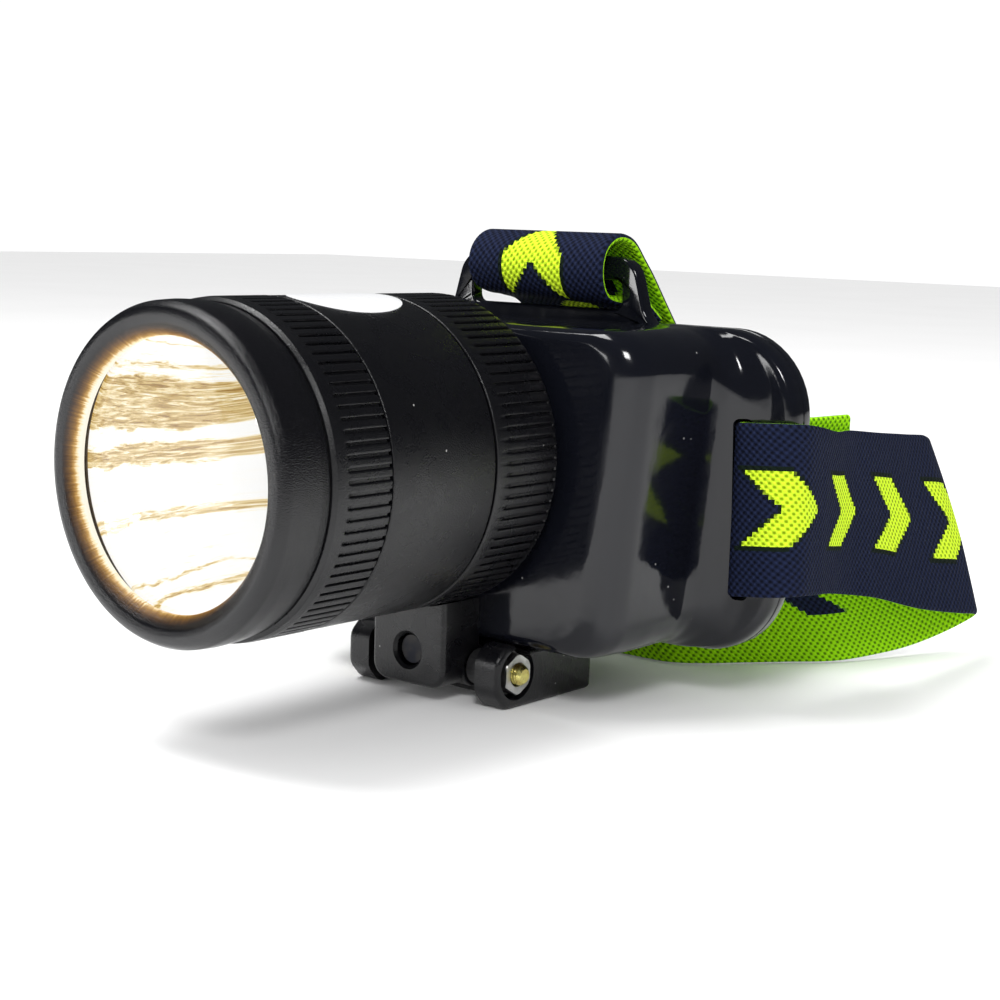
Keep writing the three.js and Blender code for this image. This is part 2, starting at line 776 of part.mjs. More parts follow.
function addBox() {
  add("front_shell", frontShell(), GLOSS_BLACK);
  add("back_cover", backCover(), GLOSS_BLACK);
  add("cover_seal", coverSeal(), RUBBER);
  COVER_SCREWS.forEach(([x, z], i) => {
    add(`cover_screw_${i + 1}`, screw("y", 12, 25.4, 26.8, x, z, 1.1, 2.7), ZINC);
  });
  add("forehead_pad", foreheadPad(), FOAM);
  add("cell_cradle", cradle(), SATIN_BLACK);
  add("cell_lower", cell(31.6), CELL_BLUE);
  add("cell_upper", cell(50.2), CELL_BLUE);
  add("contact_positive", contactTab(33.7, 34.3), NICKEL);
  add("contact_negative", contactTab(-32.3, -31.7), NICKEL);
  add("charge_board", block(-30, 30, -4, 17, 60.2, 61.8), BOARD_GREEN);
  add("charge_socket", chargeSocket(), ALUMINIUM);
  add("indicator_light", indicator(), RED_LENS);
  add("switch_body", switchBody(), SATIN_BLACK);
  add("switch_rocker", rocker(), SATIN_BLACK);
  add("port_cover", portCover(), RUBBER);
  add("box_grommet", grommet(-9.3, -6, BOX_LEAD_Z), RUBBER);
  const lead = [
    [0, -8.8, BOX_LEAD_Z],
    [0, -5.2, 22.4],
    [3, -3.8, 30],
    [8, -3.8, 44],
    [12, -3.6, 55],
    [14, -2.6, 58.6],
  ];
  add("box_lead", wire(lead, 1.1, 20), RUBBER);
}

function addStraps() {
  add("headband_near_wrap", webbing(NEAR_WRAP_LOW, NEAR_WRAP_HIGH, 30), NAVY);
  add("headband_near_run", webbing(NEAR_RUN_LOW, NEAR_RUN_HIGH, 12), NAVY);
  add("headband_near_fold", webbing(NEAR_FOLD_LOW, NEAR_FOLD_HIGH, 14), NAVY);
  add("headband_near_return", webbing(NEAR_RETURN_LOW, NEAR_RETURN_HIGH, 12), NAVY);
  add("headband_rear", webbing(REAR_LOW, raised(REAR_LOW), 10), NAVY);
  add("headband_far_return", webbing(FAR_RETURN_LOW, raised(FAR_RETURN_LOW), 10), NAVY);
  add("headband_far_fold", webbing(FAR_FOLD_LOW, raised(FAR_FOLD_LOW), 14), NAVY);
  add("headband_far_run", webbing(FAR_RUN_LOW, raised(FAR_RUN_LOW), 10), NAVY);
  add("headband_far_wrap", webbing(FAR_WRAP_LOW, raised(FAR_WRAP_LOW), 30), NAVY);
  add("crown_loop", crownStrap(CROWN_LOOP, 28), NAVY);
  add("crown_run", crownStrap(CROWN_RUN, 12), NAVY);
  add("crown_end", crownStrap(CROWN_END, 16), NAVY);
}

// Each slider is made flat and set square on its strap.
function addSliders() {
  const crown = add("crown_slider", slider(CROWN_HALF, 8.5), SATIN_BLACK);
  crown.position.set(0, 47.3, 59.6);
  crown.rotation.x = -1;
  const side = add("side_slider", slider(BAND_WIDE / 2, 8.5), SATIN_BLACK);
  const up = new THREE.Vector3(0, 0, 1);
  const along = new THREE.Vector3(0.1, 1, 0).normalize();
  const outward = new THREE.Vector3().crossVectors(up, along);
  side.quaternion.setFromRotationMatrix(new THREE.Matrix4().makeBasis(up, along, outward));
  side.position.set(-55.68, 54, 21.3 + BAND_WIDE / 2);
}

addHead();
addHinge();
addBox();
addStraps();
addSliders();

export default torch;
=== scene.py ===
"""Looks of a strap-on head torch: a screw-together lamp head that tilts on a clevis, a glossy
battery box with an arch and two wings, and a woven elastic band with a crown strap.

Points are worked out in millimetres in the frame of the CAD model (+Z up, the lamp shines towards
-Y) and are scaled to metres as each mesh is made."""

import math

import bmesh
import bpy
import numpy as np
from mathutils import Matrix, Vector


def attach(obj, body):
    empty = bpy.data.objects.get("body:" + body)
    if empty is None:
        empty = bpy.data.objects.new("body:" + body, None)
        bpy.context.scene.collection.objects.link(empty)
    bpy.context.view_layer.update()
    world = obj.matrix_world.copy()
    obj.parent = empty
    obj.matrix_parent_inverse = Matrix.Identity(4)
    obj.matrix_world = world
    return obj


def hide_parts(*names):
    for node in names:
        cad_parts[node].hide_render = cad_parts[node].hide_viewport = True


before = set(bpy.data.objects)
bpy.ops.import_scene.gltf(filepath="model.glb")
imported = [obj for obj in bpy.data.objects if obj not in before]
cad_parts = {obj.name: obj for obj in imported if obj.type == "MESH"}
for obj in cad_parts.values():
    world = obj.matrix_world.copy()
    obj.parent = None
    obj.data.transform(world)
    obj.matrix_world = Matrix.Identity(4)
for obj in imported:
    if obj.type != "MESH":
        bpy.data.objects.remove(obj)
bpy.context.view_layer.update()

MM = 0.001
AXIS_Z = 47.5  # height of the lamp head's axis
SEAM_Y = -69  # seam between the front lip and the collar
HEAD_LEAD_Z, BOX_LEAD_Z = 25.5, 22  # heights of the lead's holes in the rear cap and the box
LEAD_HOLE_R = 2.6
PIVOT_Y, PIVOT_Z = -9.3, 6.5  # the tilt hinge, along X
SLOT_X, SLOT_LOW, SLOT_HIGH = 48.5, 21.2, 55.4  # strap slot in each wing
SLOT_HALF = 1.7
SHELL_FRONT_Y, COVER_FRONT_Y, COVER_REAR_Y = -9.0, 23.5, 26.6
CAVITY_FRONT_Y = -6.8  # inside face of the shell's front wall
FLOOR_HALF = 3.0  # metres
BAND_WIDE, BAND_THICK = 33.2, 1.5
BAND_COLUMNS = 36  # points across each face of the webbing
COVER_SCREWS = [(-32.5, 19.4), (32.5, 19.4), (-36.0, 63.5), (36.0, 63.5)]


# ---- camera, floor and light ------------------------------------------------------------------


def add_camera(azimuth, elevation, roll, sideways, upwards, distance, lens):
    """The camera looks back along the direction given by azimuth and elevation, rolled about its
    own axis. Sideways, upwards and distance place it, in millimetres, in its own axes from the
    seam of the lamp head's front ring."""
    a, e, r = (math.radians(x) for x in (azimuth, elevation, roll))
    back = Vector((math.sin(a) * math.cos(e), -math.cos(a) * math.cos(e), math.sin(e)))
    right = Vector((math.cos(a), math.sin(a), 0))
    up = back.cross(right)
    across = right * math.cos(r) + up * math.sin(r)
    upright = up * math.cos(r) - right * math.sin(r)
    seam = Vector((0, SEAM_Y, AXIS_Z))
    place = (across * sideways + upright * upwards + back * distance + seam) * MM
    data = bpy.data.cameras.new("camera")
    data.lens, data.sensor_width = lens, 36
    data.clip_start, data.clip_end = 0.01, 20
    camera = bpy.data.objects.new("camera", data)
    turn = Matrix((across, upright, back)).transposed()
    camera.matrix_world = Matrix.Translation(place) @ turn.to_4x4()
    bpy.context.scene.collection.objects.link(camera)
    bpy.context.scene.camera = camera


def add_panel(name, place, target, size, power):
    """A rectangular light that faces a target, in metres and watts."""
    data = bpy.data.lights.new(name, "AREA")
    data.shape, data.size, data.size_y = "RECTANGLE", *size
    data.energy = power
    light = bpy.data.objects.new(name, data)
    light.location = place
    light.rotation_euler = (Vector(target) - Vector(place)).to_track_quat("-Z", "Y").to_euler()
    bpy.context.scene.collection.objects.link(light)


def add_studio():
    """A plain paper floor, a broad light overhead, a small one by the near side and a low one in
    front. The world is white to the camera and to matt surfaces, and dim in reflections."""
    bpy.context.scene.view_settings.view_transform = "Standard"
    world = bpy.data.worlds.new("studio")
    bpy.context.scene.world = world
    world.use_nodes = True
    nodes, links = world.node_tree.nodes, world.node_tree.links
    nodes.clear()
    out = nodes.new("ShaderNodeOutputWorld")
    tent = nodes.new("ShaderNodeBackground")
    tent.label = "white tent, for matt surfaces"
    tent.inputs["Color"].default_value = (1, 1, 1, 1)
    tent.inputs["Strength"].default_value = 0.95
    room = nodes.new("ShaderNodeBackground")
    room.label = "dim room, for reflections"
    room.inputs["Color"].default_value = (0.90, 0.95, 1.0, 1)
    room.inputs["Strength"].default_value = 0.06
    backdrop = nodes.new("ShaderNodeBackground")
    backdrop.label = "white behind the lamp"
    backdrop.inputs["Color"].default_value = (1, 1, 1, 1)
    backdrop.inputs["Strength"].default_value = 1.05
    path = nodes.new("ShaderNodeLightPath")
    seen = nodes.new("ShaderNodeMixShader")
    seen.label = "by reflection or not"
    choice = nodes.new("ShaderNodeMixShader")
    choice.label = "straight on or not"
    links.new(path.outputs["Is Glossy Ray"], seen.inputs["Fac"])
    links.new(tent.outputs["Background"], seen.inputs[1])
    links.new(room.outputs["Background"], seen.inputs[2])
    links.new(path.outputs["Is Camera Ray"], choice.inputs["Fac"])
    links.new(seen.outputs["Shader"], choice.inputs[1])
    links.new(backdrop.outputs["Background"], choice.inputs[2])
    links.new(choice.outputs["Shader"], out.inputs["Surface"])
    arrange(nodes, [("light path", [path, tent, room, backdrop]), ("choice", [seen, choice, out])])

    add_panel("overhead", (-0.32, -0.22, 1.0), (0, 0, 0.04), (0.6, 0.4), 9)
    add_panel("near_window", (0.50, -0.60, 0.62), (0.02, -0.03, 0.05), (0.15, 0.20), 3.4)
    add_panel("lit_wall", (-0.42, -0.95, 0.13), (0, 0, 0.05), (0.30, 0.2), 2.2)

    mesh = bpy.data.meshes.new("floor")
    signs = ((-1, -1), (1, -1), (1, 1), (-1, 1))
    corners = [(x * FLOOR_HALF, y * FLOOR_HALF, 0) for x, y in signs]
    mesh.from_pydata(corners, [], [(0, 1, 2, 3)])
    floor = bpy.data.objects.new("floor", mesh)
    bpy.context.scene.collection.objects.link(floor)
    mesh.materials.append(floor_paper())


# ---- materials --------------------------------------------------------------------------------


def start_material(name):
    """A new material with its nodes cleared."""
    material = bpy.data.materials.new(name)
    material.use_nodes = True
    material.node_tree.nodes.clear()
    return material, material.node_tree.nodes, material.node_tree.links


def arrange(nodes, groups):
    """Frames the nodes by effect: one column of frames, each with its nodes in a row."""
    for row, (title, members) in enumerate(groups):
        box = nodes.new("NodeFrame")
        box.label = title
        for column, node in enumerate(members):
            node.parent = box
            node.location = (column * 220, -row * 420)


def floor_paper():
    """White paper with a faint mottle."""
    material, nodes, links = start_material("floor_paper")
    place = nodes.new("ShaderNodeTexCoord")
    place.label = "place on the floor"
    mottle = nodes.new("ShaderNodeTexNoise")
    mottle.label = "faint mottle"
    mottle.inputs["Scale"].default_value = 9
    tint = nodes.new("ShaderNodeValToRGB")
    tint.label = "white to off-white"
    tint.color_ramp.elements[0].color = (0.90, 0.90, 0.90, 1)
    tint.color_ramp.elements[1].color = (0.94, 0.94, 0.94, 1)
    surface_shader = nodes.new("ShaderNodeBsdfPrincipled")
    surface_shader.label = "matt paper"
    surface_shader.inputs["Roughness"].default_value = 0.75
    surface_shader.inputs["Specular IOR Level"].default_value = 0.1
    out = nodes.new("ShaderNodeOutputMaterial")
    links.new(place.outputs["Object"], mottle.inputs["Vector"])
    links.new(mottle.outputs["Fac"], tint.inputs["Fac"])
    links.new(tint.outputs["Color"], surface_shader.inputs["Base Color"])
    links.new(surface_shader.outputs["BSDF"], out.inputs["Surface"])
    arrange(nodes, [("paper", [place, mottle, tint]), ("surface", [surface_shader, out])])
    return material


def moulded(name, colour, worn, roughness, grain, orange_peel, dust):
    """Moulded plastic or rubber. Grain is (scale per metre, height in metres) of the fine texture,
    orange_peel the same for the slow ripple, roughness the span that the polish wanders over, and
    dust the share of the surface with pale specks."""
    material, nodes, links = start_material(name)
    place = nodes.new("ShaderNodeTexCoord")
    place.label = "place on the piece"

    cloud = nodes.new("ShaderNodeTexNoise")
    cloud.label = "slow change of colour"
    cloud.inputs["Scale"].default_value = 60
    cloud.inputs["Detail"].default_value = 4
    tone = nodes.new("ShaderNodeMix")
    tone.label = "plastic to rubbed plastic"
    tone.data_type = "RGBA"
    tone.inputs["A"].default_value = (*colour, 1)
    tone.inputs["B"].default_value = (*worn, 1)

    specks = nodes.new("ShaderNodeTexVoronoi")
    specks.label = "dust specks"
    specks.inputs["Scale"].default_value = 420
    speck_size = nodes.new("ShaderNodeMapRange")
    speck_size.label = "only the middle of a cell"
    speck_size.inputs["From Min"].default_value = 0.10
    speck_size.inputs["From Max"].default_value = 0.05
    speck_pick = nodes.new("ShaderNodeMath")
    speck_pick.label = "few cells hold one"
    speck_pick.operation = "LESS_THAN"
    speck_pick.inputs[1].default_value = dust
    speck_red = nodes.new("ShaderNodeSeparateColor")
    speck_red.label = "a number for each cell"
    speck_mask = nodes.new("ShaderNodeMath")
    speck_mask.label = "specks"
    speck_mask.operation = "MULTIPLY"
    dusty = nodes.new("ShaderNodeMix")
    dusty.label = "dust on the plastic"
    dusty.data_type = "RGBA"
    dusty.inputs["B"].default_value = (0.30, 0.30, 0.29, 1)

    handling = nodes.new("ShaderNodeTexNoise")
    handling.label = "handling marks"
    handling.inputs["Scale"].default_value = 140
    handling.inputs["Detail"].default_value = 6
    handling.inputs["Distortion"].default_value = 1.2
    polish = nodes.new("ShaderNodeMapRange")
    polish.label = "polish"
    polish.inputs["From Min"].default_value = 0.35
    polish.inputs["From Max"].default_value = 0.70
    polish.inputs["To Min"].default_value = roughness[0]
    polish.inputs["To Max"].default_value = roughness[1]

    fine = nodes.new("ShaderNodeTexNoise")
    fine.label = "moulded grain"
    fine.inputs["Scale"].default_value = grain[0]
    fine.inputs["Detail"].default_value = 5
    fine_bump = nodes.new("ShaderNodeBump")
    fine_bump.label = "grain height"
    fine_bump.inputs["Strength"].default_value = 1
    fine_bump.inputs["Distance"].default_value = grain[1]
    slow = nodes.new("ShaderNodeTexNoise")
    slow.label = "orange peel"
    slow.inputs["Scale"].default_value = orange_peel[0]
    slow.inputs["Detail"].default_value = 1.5
    slow_bump = nodes.new("ShaderNodeBump")
    slow_bump.label = "orange peel height"
    slow_bump.inputs["Strength"].default_value = 1
    slow_bump.inputs["Distance"].default_value = orange_peel[1]

    shader = nodes.new("ShaderNodeBsdfPrincipled")
    shader.label = "plastic"
    shader.inputs["IOR"].default_value = 1.46
    out = nodes.new("ShaderNodeOutputMaterial")

    links.new(place.outputs["Object"], cloud.inputs["Vector"])
    links.new(cloud.outputs["Fac"], tone.inputs["Factor"])
    links.new(place.outputs["Object"], specks.inputs["Vector"])
    links.new(specks.outputs["Distance"], speck_size.inputs["Value"])
    links.new(specks.outputs["Color"], speck_red.inputs["Color"])
    links.new(speck_red.outputs["Red"], speck_pick.inputs[0])
    links.new(speck_size.outputs["Result"], speck_mask.inputs[0])
    links.new(speck_pick.outputs["Value"], speck_mask.inputs[1])
    links.new(speck_mask.outputs["Value"], dusty.inputs["Factor"])
    links.new(tone.outputs["Result"], dusty.inputs["A"])
    links.new(dusty.outputs["Result"], shader.inputs["Base Color"])
    links.new(place.outputs["Object"], handling.inputs["Vector"])
    links.new(handling.outputs["Fac"], polish.inputs["Value"])
    links.new(polish.outputs["Result"], shader.inputs["Roughness"])
    links.new(place.outputs["Object"], slow.inputs["Vector"])
    links.new(slow.outputs["Fac"], slow_bump.inputs["Height"])
    links.new(place.outputs["Object"], fine.inputs["Vector"])
    links.new(fine.outputs["Fac"], fine_bump.inputs["Height"])
    links.new(slow_bump.outputs["Normal"], fine_bump.inputs["Normal"])
    links.new(fine_bump.outputs["Normal"], shader.inputs["Normal"])
    links.new(shader.outputs["BSDF"], out.inputs["Surface"])
    arrange(
        nodes,
        [
            ("colour", [place, cloud, tone, dusty]),
            ("dust", [specks, speck_red, speck_size, speck_pick, speck_mask]),
            ("polish", [handling, polish]),
            ("texture", [slow, slow_bump, fine, fine_bump]),
            ("surface", [shader, out]),
        ],
    )
    return material


def painted_lamp_glow(material):
    """Paints the light of the lamp onto the bevel inside the front lip, as emission on plastic that is no
    lamp: white at the glass, through gold to brown, and none from the crest outwards."""
    nodes, links = material.node_tree.nodes, material.node_tree.links
    shader = next(n for n in nodes if n.type == "BSDF_PRINCIPLED")
    place = nodes.new("ShaderNodeTexCoord")
    place.label = "place on the lip"
    centred = nodes.new("ShaderNodeMapping")
    centred.label = "from the lamp's axis"
    centred.inputs["Location"].default_value = (0, 0, -AXIS_Z * MM)
    centred.inputs["Scale"].default_value = (1, 0, 1)
    radius = nodes.new("ShaderNodeVectorMath")
    radius.label = "distance from the axis"
    radius.operation = "LENGTH"
    flecks = nodes.new("ShaderNodeTexNoise")
    flecks.label = "uneven edge of the glow"
    flecks.inputs["Scale"].default_value = 900
    flecks.inputs["Detail"].default_value = 6
    ragged = nodes.new("ShaderNodeMath")
    ragged.label = "ragged distance"
    ragged.operation = "MULTIPLY_ADD"
    ragged.inputs[1].default_value = 0.0005
    sides = nodes.new("ShaderNodeSeparateXYZ")
    sides.label = "which side of the lamp"
    turn = nodes.new("ShaderNodeMath")
    turn.label = "angle round the axis"
    turn.operation = "ARCTAN2"
    spokes = nodes.new("ShaderNodeTexNoise")
    spokes.label = "fine radial streaks"
    spokes.noise_dimensions = "1D"
    spokes.inputs["Scale"].default_value = 60
    spokes.inputs["Detail"].default_value = 7
    spokes.inputs["Roughness"].default_value = 0.7
    streaked = nodes.new("ShaderNodeMath")
    streaked.label = "distance with streaks"
    streaked.operation = "MULTIPLY_ADD"
    streaked.inputs[1].default_value = 0.0010
    lopsided = nodes.new("ShaderNodeMath")
    lopsided.label = "brighter on the far side"
    lopsided.operation = "MULTIPLY_ADD"
    lopsided.inputs[1].default_value = 0.032
    span = nodes.new("ShaderNodeMapRange")
    span.label = "glass edge to crest"
    span.inputs["From Min"].default_value = 0.0231
    span.inputs["From Max"].default_value = 0.0254
    colour = nodes.new("ShaderNodeValToRGB")
    colour.label = "white, gold, brown, none"
    stops = [
        (0.0, (1.0, 0.93, 0.78, 1)),
        (0.10, (1.0, 0.82, 0.48, 1)),
        (0.20, (0.60, 0.34, 0.08, 1)),
        (0.34, (0.28, 0.135, 0.018, 1)),
        (0.50, (0.14, 0.062, 0.007, 1)),
        (0.68, (0.050, 0.020, 0.002, 1)),
        (0.85, (0.009, 0.0035, 0.0005, 1)),
        (1.0, (0.0, 0.0, 0.0, 1)),
    ]
    ramp = colour.color_ramp
    while len(ramp.elements) < len(stops):
        ramp.elements.new(0.5)
    for element, (position, value) in zip(ramp.elements, stops):
        element.position, element.color = position, value
    links.new(place.outputs["Object"], centred.inputs["Vector"])
    links.new(centred.outputs["Vector"], radius.inputs[0])
    links.new(place.outputs["Object"], flecks.inputs["Vector"])
    links.new(flecks.outputs["Fac"], ragged.inputs[0])
    links.new(radius.outputs["Value"], ragged.inputs[2])
    links.new(centred.outputs["Vector"], sides.inputs["Vector"])
    links.new(sides.outputs["Z"], turn.inputs[0])
    links.new(sides.outputs["X"], turn.inputs[1])
    links.new(turn.outputs["Value"], spokes.inputs["W"])
    links.new(spokes.outputs["Fac"], streaked.inputs[0])
    links.new(ragged.outputs["Value"], streaked.inputs[2])
    links.new(sides.outputs["X"], lopsided.inputs[0])
    links.new(streaked.outputs["Value"], lopsided.inputs[2])
    links.new(lopsided.outputs["Value"], span.inputs["Value"])
    links.new(span.outputs["Result"], colour.inputs["Fac"])
    # painted light: this white, gold and brown ramp is the lamp's glow set into the lip's emission
    links.new(colour.outputs["Color"], shader.inputs["Emission Color"])
    shader.inputs["Emission Strength"].default_value = 1.0
    arrange(nodes, [("lamp light", [place, centred, radius, flecks, ragged, span, colour]),
                    ("lamp streaks", [sides, turn, spokes, streaked, lopsided])])
    return material


def reflector_painted_light():
    """Silvered bowl with the lamp on, shown as a painted reflection of the lamp set into its emission:
    white light broken by gold rays that fan out from the emitter. A ramp over the angle round the axis says
    where it is white and where gold; fibres, which are noise drawn out along the bowl, break up the gold;
    and the ramp's edges wander."""
    material, nodes, links = start_material("reflector_painted_light")
    place = nodes.new("ShaderNodeTexCoord")
    place.label = "place in the bowl"
    centred = nodes.new("ShaderNodeMapping")
    centred.label = "from the lamp's axis, turned over"
    centred.inputs["Location"].default_value = (0, 0, -AXIS_Z * MM)
    centred.inputs["Scale"].default_value = (-1, 1, 1)
    parts = nodes.new("ShaderNodeSeparateXYZ")
    parts.label = "X, depth and Z"
    angle = nodes.new("ShaderNodeMath")
    angle.label = "angle round the axis"
    angle.operation = "ARCTAN2"
    polar = nodes.new("ShaderNodeCombineXYZ")
    polar.label = "angle and depth"

    wide = nodes.new("ShaderNodeMapping")
    wide.label = "slow wander"
    wide.inputs["Scale"].default_value = (2.2, 95, 0)
    wander = nodes.new("ShaderNodeTexNoise")
    wander.label = "slow wander"
    wander.inputs["Scale"].default_value = 1
    wander.inputs["Detail"].default_value = 5
    wander.inputs["Roughness"].default_value = 0.62
    moved = nodes.new("ShaderNodeMath")
    moved.label = "angle that wanders"
    moved.operation = "MULTIPLY_ADD"
    moved.inputs[1].default_value = 0.34
    around = nodes.new("ShaderNodeMapRange")
    around.label = "visible arc, bottom to top"
    around.inputs["From Min"].default_value = -1.4
    around.inputs["From Max"].default_value = 1.6
    zones = nodes.new("ShaderNodeValToRGB")
    zones.label = "white and gold zones"
    zones.color_ramp.interpolation = "EASE"
    zone_stops = [
        (0.0, 0.9), (0.10, 0.9), (0.115, 0.30), (0.135, 0.9), (0.175, 0.95), (0.187, 0.35), (0.20, 0.95),
        (0.335, 1.0), (0.352, 0.42), (0.372, 0.50), (0.39, 1.0), (0.50, 1.0), (0.512, 0.34), (0.545, 0.30),
        (0.56, 0.95), (0.585, 0.95), (0.60, 0.30), (0.67, 0.36), (0.73, 0.28), (0.745, 0.8), (0.765, 0.8),
        (0.78, 0.40), (0.80, 0.9), (0.86, 1.0), (0.87, 0.5), (0.885, 1.0), (0.93, 0.6), (1.0, 0.9),
    ]
    ramp = zones.color_ramp
    while len(ramp.elements) < len(zone_stops):
        ramp.elements.new(0.5)
    for element, (position, value) in zip(ramp.elements, zone_stops):
        element.position, element.color = position, (value, value, value, 1)

    thin = nodes.new("ShaderNodeMapping")
    thin.label = "fibres"
    thin.inputs["Scale"].default_value = (40, 330, 0)
    fibres = nodes.new("ShaderNodeTexNoise")
    fibres.label = "fibres"
    fibres.inputs["Scale"].default_value = 1
    fibres.inputs["Detail"].default_value = 8
    fibres.inputs["Roughness"].default_value = 0.7
    fibres.inputs["Distortion"].default_value = 0.8
    fibre_span = nodes.new("ShaderNodeMapRange")
    fibre_span.label = "fibre contrast"
    fibre_span.inputs["From Min"].default_value = 0.30
    fibre_span.inputs["From Max"].default_value = 0.70
    fibre_span.inputs["To Min"].default_value = -0.42
    fibre_span.inputs["To Max"].default_value = 0.50
    both = nodes.new("ShaderNodeMath")
    both.label = "zones and fibres"
    both.operation = "ADD"
    light = nodes.new("ShaderNodeValToRGB")
    light.label = "gold to white"
    stops = [
        (0.0, (0.26, 0.125, 0.015, 1)),
        (0.22, (0.48, 0.29, 0.065, 1)),
        (0.45, (0.80, 0.62, 0.29, 1)),
        (0.62, (0.98, 0.90, 0.69, 1)),
        (0.78, (1.0, 0.985, 0.94, 1)),
        (1.0, (1.0, 1.0, 0.985, 1)),
    ]
    ramp = light.color_ramp
    while len(ramp.elements) < len(stops):
        ramp.elements.new(0.5)
    for element, (position, value) in zip(ramp.elements, stops):
        element.position, element.color = position, value

    ripple = nodes.new("ShaderNodeBump")
    ripple.label = "ripple of the plating"
    ripple.inputs["Strength"].default_value = 0.4
    ripple.inputs["Distance"].default_value = 0.0001
    shader = nodes.new("ShaderNodeBsdfPrincipled")
    shader.label = "silvered plastic"
    shader.inputs["Base Color"].default_value = (0.05, 0.05, 0.045, 1)
    shader.inputs["Metallic"].default_value = 1
    shader.inputs["Roughness"].default_value = 0.15
    shader.inputs["Emission Strength"].default_value = 1.04
    out = nodes.new("ShaderNodeOutputMaterial")

    links.new(place.outputs["Object"], centred.inputs["Vector"])
    links.new(centred.outputs["Vector"], parts.inputs["Vector"])
    links.new(parts.outputs["Z"], angle.inputs[0])
    links.new(parts.outputs["X"], angle.inputs[1])
    links.new(angle.outputs["Value"], polar.inputs["X"])
    links.new(parts.outputs["Y"], polar.inputs["Y"])
    links.new(polar.outputs["Vector"], wide.inputs["Vector"])
    links.new(wide.outputs["Vector"], wander.inputs["Vector"])
    links.new(wander.outputs["Fac"], moved.inputs[0])
    links.new(angle.outputs["Value"], moved.inputs[2])
    links.new(moved.outputs["Value"], around.inputs["Value"])
    links.new(around.outputs["Result"], zones.inputs["Fac"])
    links.new(polar.outputs["Vector"], thin.inputs["Vector"])
    links.new(thin.outputs["Vector"], fibres.inputs["Vector"])
    links.new(fibres.outputs["Fac"], fibre_span.inputs["Value"])
    links.new(zones.outputs["Color"], both.inputs[0])
    links.new(fibre_span.outputs["Result"], both.inputs[1])
    links.new(both.outputs["Value"], light.inputs["Fac"])
    # painted reflection: the gold-to-white light goes into the bowl's emission in place of a reflected lamp
    links.new(light.outputs["Color"], shader.inputs["Emission Color"])
    links.new(fibres.outputs["Fac"], ripple.inputs["Height"])
    links.new(ripple.outputs["Normal"], shader.inputs["Normal"])
    links.new(shader.outputs["BSDF"], out.inputs["Surface"])
    arrange(
        nodes,
        [
            ("round the axis", [place, centred, parts, angle, polar]),
            ("zones", [wide, wander, moved, around, zones]),
            ("fibres", [thin, fibres, fibre_span, both]),
            ("surface", [light, ripple, shader, out]),
        ],
    )
    return material


def clear_plastic():
    """The lens: clear acrylic with a faint haze of dust."""
    material, nodes, links = start_material("clear_lens")
    place = nodes.new("ShaderNodeTexCoord")
    place.label = "place on the lens"
    haze = nodes.new("ShaderNodeTexNoise")
    haze.label = "dust"
    haze.inputs["Scale"].default_value = 500
    haze.inputs["Detail"].default_value = 6
    dull = nodes.new("ShaderNodeMapRange")
    dull.label = "nearly clear"
    dull.inputs["From Min"].default_value = 0.55
    dull.inputs["From Max"].default_value = 0.8
    dull.inputs["To Min"].default_value = 0.0
    dull.inputs["To Max"].default_value = 0.06
    shader = nodes.new("ShaderNodeBsdfPrincipled")
    shader.label = "acrylic"
    shader.inputs["Base Color"].default_value = (1, 1, 1, 1)
    shader.inputs["IOR"].default_value = 1.49
    shader.inputs["Transmission Weight"].default_value = 1
    out = nodes.new("ShaderNodeOutputMaterial")
    links.new(place.outputs["Object"], haze.inputs["Vector"])
    links.new(haze.outputs["Fac"], dull.inputs["Value"])
    links.new(dull.outputs["Result"], shader.inputs["Roughness"])
    links.new(shader.outputs["BSDF"], out.inputs["Surface"])
    arrange(nodes, [("dust", [place, haze, dull]), ("surface", [shader, out])])
    return material


def lit_emitter():
    """The emitter's phosphor: a yellow square with a white-hot middle."""
    material, nodes, links = start_material("lit_emitter")
    place = nodes.new("ShaderNodeTexCoord")
    place.label = "place on the emitter"
    cells = nodes.new("ShaderNodeTexVoronoi")
    cells.label = "phosphor grains"
    cells.inputs["Scale"].default_value = 2500
    glow = nodes.new("ShaderNodeValToRGB")
    glow.label = "yellow to white"
    glow.color_ramp.elements[0].color = (1.0, 0.97, 0.86, 1)
    glow.color_ramp.elements[1].color = (1.0, 0.80, 0.34, 1)
    shader = nodes.new("ShaderNodeBsdfPrincipled")
    shader.label = "phosphor"
    shader.inputs["Base Color"].default_value = (0.9, 0.75, 0.25, 1)
    shader.inputs["Roughness"].default_value = 0.4
    shader.inputs["Emission Strength"].default_value = 12
    out = nodes.new("ShaderNodeOutputMaterial")
    links.new(place.outputs["Object"], cells.inputs["Vector"])
    links.new(cells.outputs["Distance"], glow.inputs["Fac"])
    links.new(glow.outputs["Color"], shader.inputs["Emission Color"])
    links.new(shader.outputs["BSDF"], out.inputs["Surface"])
    arrange(nodes, [("phosphor", [place, cells, glow]), ("surface", [shader, out])])
    return material


